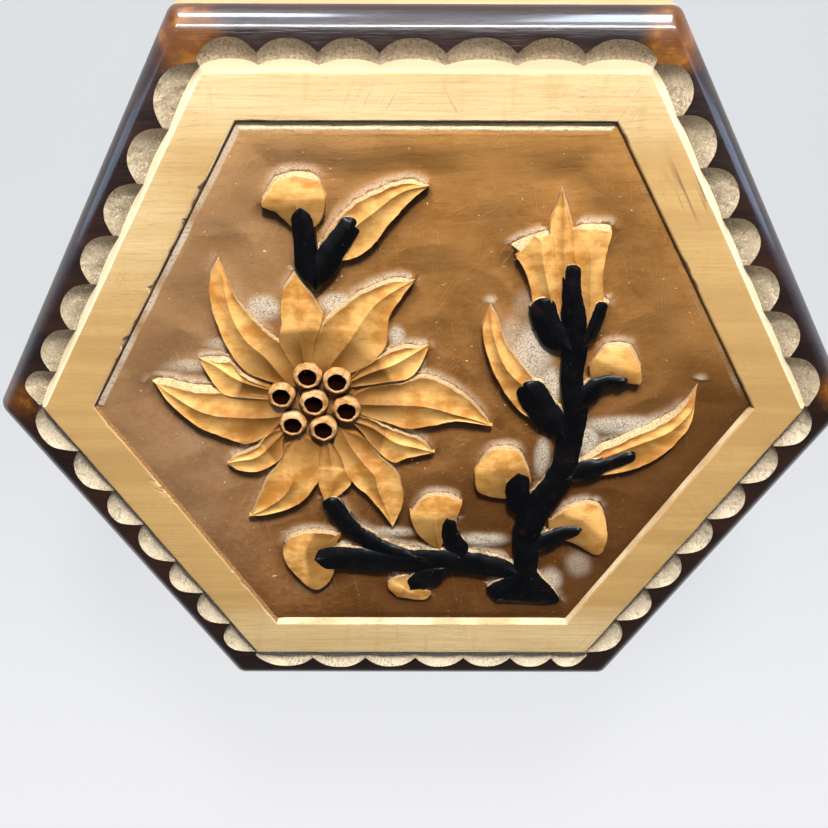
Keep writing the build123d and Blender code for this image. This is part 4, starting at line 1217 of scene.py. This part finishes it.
# The field ends under the border's wall. Its mesh is rings round the middle, the outermost of
# which make the V groove.
seam = 46.75
field_rings = 118
groove_rings = 4


def smooth_step(value, low, high):
    """0 under low, 1 over high, and smooth in between."""
    part = max(0.0, min(1.0, (value - low) / (high - low)))
    return part * part * (3 - 2 * part)


def by_side(reaches, values, fade):
    """A value for a point from those of the six sides, blended where two sides meet."""
    nearest = max(reaches.values())
    weights = {turn: math.exp((reaches[turn] - nearest) / fade) for turn in hexagon_turns}
    return sum(weights[turn] * values[turn] for turn in hexagon_turns) / sum(weights.values())


def field_mesh():
    """The field: it dips towards the spray, meets the border in a V groove, and has a skirt."""
    corners = [on_side(seam, -seam * slope_30, turn) for turn in hexagon_turns]
    spots, faces, last = lattice(corners, field_rings)
    groove = seam / field_rings * groove_rings
    tree = kdtree.KDTree(len(outline_points))
    for index, (x, y, _, _) in enumerate(outline_points):
        tree.insert((x, y, 0), index)
    tree.balance()
    points, marks = [], []
    for x, y in spots:
        near, which, gap = tree.find((x, y, 0))
        _, _, out_x, out_y = outline_points[which]
        outside = (x - near.x) * out_x + (y - near.y) * out_y > 0
        lit = max(0.0, out_y) if outside else 0.0
        dust = 0.8 * max(0.0, 1 - gap / 2.0) * lit
        rise = 0.45 * max(0.0, 1 - gap / 1.8) ** 2 * (0.35 + 0.65 * lit)
        # Painted shadow on the ground beside the side of each form that faces away from the light.
        painted_shade = max(0.0, 1 - gap / 3.2) * max(0.0, min(1.0, 0.25 - 1.1 * out_y) if outside else 0.0)
        for cx, cy, rx, ry, lift, strength in dusty:
            far = math.hypot((x - cx) / rx, (y - cy) / ry)
            if far < 1.4:
                part = smooth_step(1.4 - far, 0.0, 1.1)
                dust = max(dust, strength * part)
                rise = max(rise, lift * part)
        reaches = {turn: x * math.cos(math.radians(turn)) + y * math.sin(math.radians(turn))
                   for turn in hexagon_turns}
        side = max(reaches, key=reaches.get)
        edge = seam - reaches[side]
        deep = by_side(reaches, groove_depths, 0.4)
        ground = ground_near + (ground_open - ground_near) * smooth_step(gap, 0.3, 9.0)
        shallow = by_side(reaches, edge_levels, 4.0)
        ground += (shallow - ground) * smooth_step(9.0 - edge, 0.0, 8.0)
        open_ground = smooth_step((Vector((x, y)) - heart).length, 12.0, 15.5)
        dust *= open_ground
        rise *= open_ground
        painted_shade = max(painted_shade * open_ground, 0.25 * (1 - open_ground))
        hand = 0.10 * wobble(x, y, 4.0, 5.0) + 0.05 * wobble(x, y, 8.0, 1.6)
        level = ground + hand + rise * smooth_step(edge, groove, groove + 2)
        slope = 0.0
        if edge < groove + 0.01:
            part = max(0.0, edge / groove)
            level = -deep + (level + deep) * part
            level += 0.08 * wobble(x, y, 2.0, 0.6) * math.sin(math.pi * part)
            slope = bare_slopes[side] * (1 if part < 0.7 else 0.4)
            if side != 90:
                slope *= 1.0 + 0.5 * wobble(x, y, 6.0, 4.0)
        points.append((x, y, lid_top + level))
        marks.append((dust, painted_shade, slope))
    count = len(points)
    rim = range(last, count)
    for index in rim:
        x, y, _ = points[index]
        points.append((x * 0.99, y * 0.99, lid_top - 4.2))
        marks.append((0.0, 0.0, 0.0))
    foot = range(count, count + len(rim))
    faces += ribbon(rim, foot)
    faces.append(tuple(reversed(foot)))
    return points, faces, marks


def field_stain():
    """Brown water stain over limewood: cloudy, with grain, scratches, specks and pale dust, lighter
    towards the back and darker at the front right. The strip along the back wall is painted
    lighter as painted light, and the ground below the forms is painted dark as painted shadow.
    The V groove's slope that faces the back is bare."""
    finish = Finish("field_stain")
    bands, fibres, pores = wood(finish, 4.0, (1, 7, 2))
    dust, painted_shade, slope = [finish.mark(channel) for channel in range(3)]
    up, across = finish.along("Y"), finish.along("X")
    cloud = finish.noise((11, 8), detail=5, rough=0.6)
    mottle = finish.noise((1.3, 0.8), detail=4, rough=0.65)
    fibre = finish.noise((0.30, 0.26), detail=4, rough=0.75)
    tear = finish.noise((0.7, 0.35), detail=4, rough=0.7)
    speck = finish.noise((0.7, 0.5), detail=1.0, rough=0.4).step(0.76, 0.80)
    lines = scratches(finish, 60, 1.1).highest(scratches(finish, 100, 1.2),
                                               scratches(finish, 30, 0.8))
    clouded = cloud.step(0.34, 0.68)
    low = finish.mix(clouded, (102, 64, 24), (132, 90, 50))
    high = finish.mix(clouded, (140, 96, 44), (166, 120, 66))
    hazed = (up * 0.3 - across).step(0.010, 0.040) * (0.5 + cloud)
    front = (across * 0.5 - up + (cloud - 0.5) * 0.012).step(0.010, 0.026)
    front *= across.step(-0.028, -0.006)
    cover = dust * 1.1 + (fibre - 0.5) * 0.7 * dust.step(0.0, 0.4) + (cloud - 0.5) * 0.3
    pale = finish.mix(fibre.step(0.46, 0.60), (234, 226, 210), (150, 132, 108))
    dusted = finish.mix(tear.step(0.48, 0.70), (208, 196, 176), (142, 120, 94))
    fresh = finish.mix(tear.step(0.52, 0.74), (246, 228, 188), (190, 154, 106))
    torn = (slope + (tear - 0.5) * 0.5).step(0.36, 0.66)
    colour = finish.paint(
        finish.mix(up.step(-0.045, 0.040), low, high),
        # Painted light: the strip of field along the back wall is lighter.
        (up.step(0.032, 0.046) * 0.5, (206, 152, 86)),
        (bands.step(0.4, 0.7) * 0.35, (100, 64, 26)),
        (mottle.step(0.40, 0.70) * 0.32, (156, 116, 70)),
        (fibres.step(0.50, 0.74) * 0.35, (92, 58, 24)),
        (hazed * 0.26, (184, 156, 128)),
        # Painted shadow below the forms and round the flower's heart.
        (painted_shade * 0.85, (54, 28, 8)),
        (pores * 0.4, (70, 40, 16)),
        (lines * 0.30, (198, 156, 108)),
        (speck * 0.8, (238, 206, 160)),
        (front * 0.70, (72, 40, 8)),
        (cover.step(0.12, 1.0) * 0.8, pale),
        (torn * (0.35 + slope * 0.6), finish.mix(slope.step(0.7, 0.95), dusted, fresh)))
    height = mottle * 0.9 + fibres * 0.4 + fibre * dust * 1.2 + tear * slope * 2.0 - lines * 0.4
    return finish.surface(colour, 0.62 + mottle * 0.2, height, 0.14, Specular_IOR_Level=0.05)


field_points, field_faces, field_marks = field_mesh()
lid_field = make_object("lid_field", field_points, field_faces, [field_stain()], 60,
                        marks=field_marks)
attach(lid_field, "lid")
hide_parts("lid_board")


# The box under the lid: six mitred limewood walls whose grain runs along each board, keyed
# with hardwood, on a moulded base under the same dark lacquer as the lid's rim.
def repaint(node, finish):
    """The finish on every slot of a CAD node."""
    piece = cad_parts[node]
    if not piece.data.materials:
        piece.data.materials.append(finish)
    for slot in piece.material_slots:
        slot.material = finish


wall_turns = {"front": -90, "front_right": -30, "back_right": 30, "back": 90, "back_left": 150,
              "front_left": 210}
wall_woods = {}
for grain in (0, 60, 120):
    wall_woods[grain] = plain_wood("wall_wood_" + str(grain), grain, (238, 204, 132),
                                   (216, 170, 96), 0.5)
for side, turn in wall_turns.items():
    repaint("wall_" + side, wall_woods[(turn + 90) % 180])
repaint("corner_splines", plain_wood("key_wood", 30, (176, 112, 60), (140, 84, 42), 0.1))
repaint("base_board", dark_lacquer("base_lacquer"))
repaint("lid_inner_panel", panel_wood)


# The two hinges are drawn brass with brass screws. The six screws that hold the base are steel
# and sit in the base's underside.
def metal(name, bright, dull, grit):
    """Drawn metal with faint lengthwise lines, small spots and fingermarks."""
    finish = Finish(name)
    lines = finish.noise((6, 0.10), detail=3)
    spots = finish.noise((1.1, 1.1), detail=4, rough=0.7)
    colour = finish.mix(spots.step(0.40, 0.75), bright, dull)
    return finish.surface(colour, grit + spots * 0.25 + lines * 0.1, lines, 0.01, Metallic=1.0)


brass = metal("hinge_brass", (226, 184, 98), (168, 120, 52), 0.18)
steel = metal("screw_steel", (196, 198, 202), (132, 134, 138), 0.22)
for part in ("left_wall_leaf", "left_lid_leaf", "left_pin", "right_wall_leaf", "right_lid_leaf",
             "right_pin", "screws_wall", "screws_lid"):
    repaint("hinge_" + part, brass)
repaint("base_screws", steel)


# The lining is thin wine red felt with soft cut edges: a sheet glued to each wall, one laid
# on the floor, and one glued under the lid's panel.
def felt(name, dark, light, fuzz):
    """Pressed wool: matted fibres in all directions, with pale stray hairs."""
    finish = Finish(name)
    matted = finish.noise((0.8, 0.8), detail=5, rough=0.75, distortion=1.2)
    cloud = finish.noise((12, 12), detail=3)
    hair = finish.noise((1.6, 0.12, 0.3), detail=2, distortion=2.0, turn=35).step(0.66, 0.72)
    colour = finish.paint(
        finish.mix(matted.step(0.3, 0.7), dark, light),
        (cloud.step(0.4, 0.7) * 0.25, dark),
        (hair * 0.3, fuzz))
    return finish.surface(colour, 0.95, matted + hair * 0.4, 0.18, Sheen_Weight=0.4,
                          Sheen_Roughness=0.5)


def felt_sheet(name, back, front, rings, finish, flat, rests_on, body, node, held):
    """A sheet of felt between two like outlines, with soft edges and a slightly uneven face."""
    spans = [[Vector(corner) for corner in outline] for outline in (back, front)]
    count = len(back)
    origin = sum(spans[0], Vector()) / count
    across = (spans[0][1] - spans[0][0]).normalized()
    facing = across.cross(spans[0][2] - spans[0][1]).normalized()
    upward = facing.cross(across)
    points, faces, edges = [], [], []
    for layer, outline in enumerate(spans):
        flat_corners = [((corner - origin).dot(across), (corner - origin).dot(upward))
                        for corner in outline]
        level = (outline[0] - origin).dot(facing)
        spots, sheets, last = lattice(flat_corners, rings)
        begin = len(points)
        edges.append(range(begin + last, begin + len(spots)))
        middle = sum((Vector(corner) for corner in flat_corners), Vector((0, 0))) / count
        for index, spot in enumerate(spots):
            at_edge = index >= last
            full = 0.55 if at_edge else 1.0
            wave = 0.05 * wobble(spot.x, spot.y, 7.0 + layer, 3.0) if layer and not at_edge else 0.0
            inward = (middle - spot).normalized() * (0.12 if at_edge else 0.0)
            place = origin + across * (spot.x + inward.x) + upward * (spot.y + inward.y)
            if layer:
                place += facing * (level * full + wave - math.copysign(0.06, level))
            points.append(tuple(place))
        for face in sheets:
            faces.append(tuple(begin + corner for corner in (face if layer else face[::-1])))
    faces += ribbon(*edges)
    piece = make_object(name, points, faces, [finish], 60)
    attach(piece, body)
    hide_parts(node)


wine_felt = felt("wine_felt", (96, 12, 24), (146, 28, 44), (200, 110, 118))
inner_apothem = 51.9
felt_play = 0.3
felt_thickness = 1.0
wall_bottom = 9.5
wall_felt_top = 44.2


def hexagon_corners(apothem, level):
    """The six corners of a hexagon at one level."""
    return [(*on_side(apothem, -apothem * slope_30, turn), level) for turn in hexagon_turns]


def hexagon_cut(apothem):
    """The flat size of a hexagonal sheet and its area, in metres."""
    side = 2 * apothem * slope_30 * mm
    return (2 * side, 2 * apothem * mm), 3 * side * apothem * mm


for side, turn in wall_turns.items():
    low, high = wall_bottom + 1.3, wall_felt_top
    outlines = []
    for apothem in (inner_apothem, inner_apothem - felt_thickness):
        half = apothem * slope_30 - felt_play
        outlines.append([(*on_side(apothem, along, turn), level) for along, level in
                         ((-half, low), (half, low), (half, high), (-half, high))])
    width = 2 * (inner_apothem * slope_30 - felt_play) * mm
    felt_sheet("lining_" + side, *outlines, 26, wine_felt, ((width, (high - low) * mm), None),
               ["wall_" + side], "box", "felt_" + side, "stretched")

floor_apothem = inner_apothem - felt_play
felt_sheet("lining_floor", hexagon_corners(floor_apothem, wall_bottom),
           hexagon_corners(floor_apothem, wall_bottom + felt_thickness), 48, wine_felt,
           hexagon_cut(floor_apothem), ["base_board"], "box", "floor_felt", "laid")
lid_felt_apothem = 50.1
panel_bottom = 45.1
felt_sheet("lining_lid", hexagon_corners(lid_felt_apothem, panel_bottom)[::-1],
           hexagon_corners(lid_felt_apothem, panel_bottom - felt_thickness)[::-1], 48, wine_felt,
           hexagon_cut(lid_felt_apothem), ["lid_inner_panel"], "lid", "lid_felt", "stretched")


# The feet: six round pads punched from thick grey felt, one under each corner of the base,
# with their edges a little rounded by the punch.
pad_profile = [(0.0, 0.0, 0), (4.7, 0.0, 0), (4.95, 0.25, 0), (5.0, 0.75, 0), (4.95, 1.2, 0),
               (4.8, 1.45, 0), (4.4, 1.5, 0), (0.0, 1.5, 0)]
pad_reach = 61.8 / math.cos(math.radians(30)) - 16.0
pad_turns = [math.radians(60 * step) for step in range(6)]
pads = spread_copies(
    "pads", [(pad_reach * math.cos(turn), pad_reach * math.sin(turn), 0) for turn in pad_turns],
    turned_pattern("pad", pad_profile, 40),
    felt("grey_felt", (40, 40, 44), (78, 78, 84), (150, 150, 150)),
    smallest=0.985, seed=5, unevenness=0.0)
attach(pads, "box")
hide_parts("felt_pads")
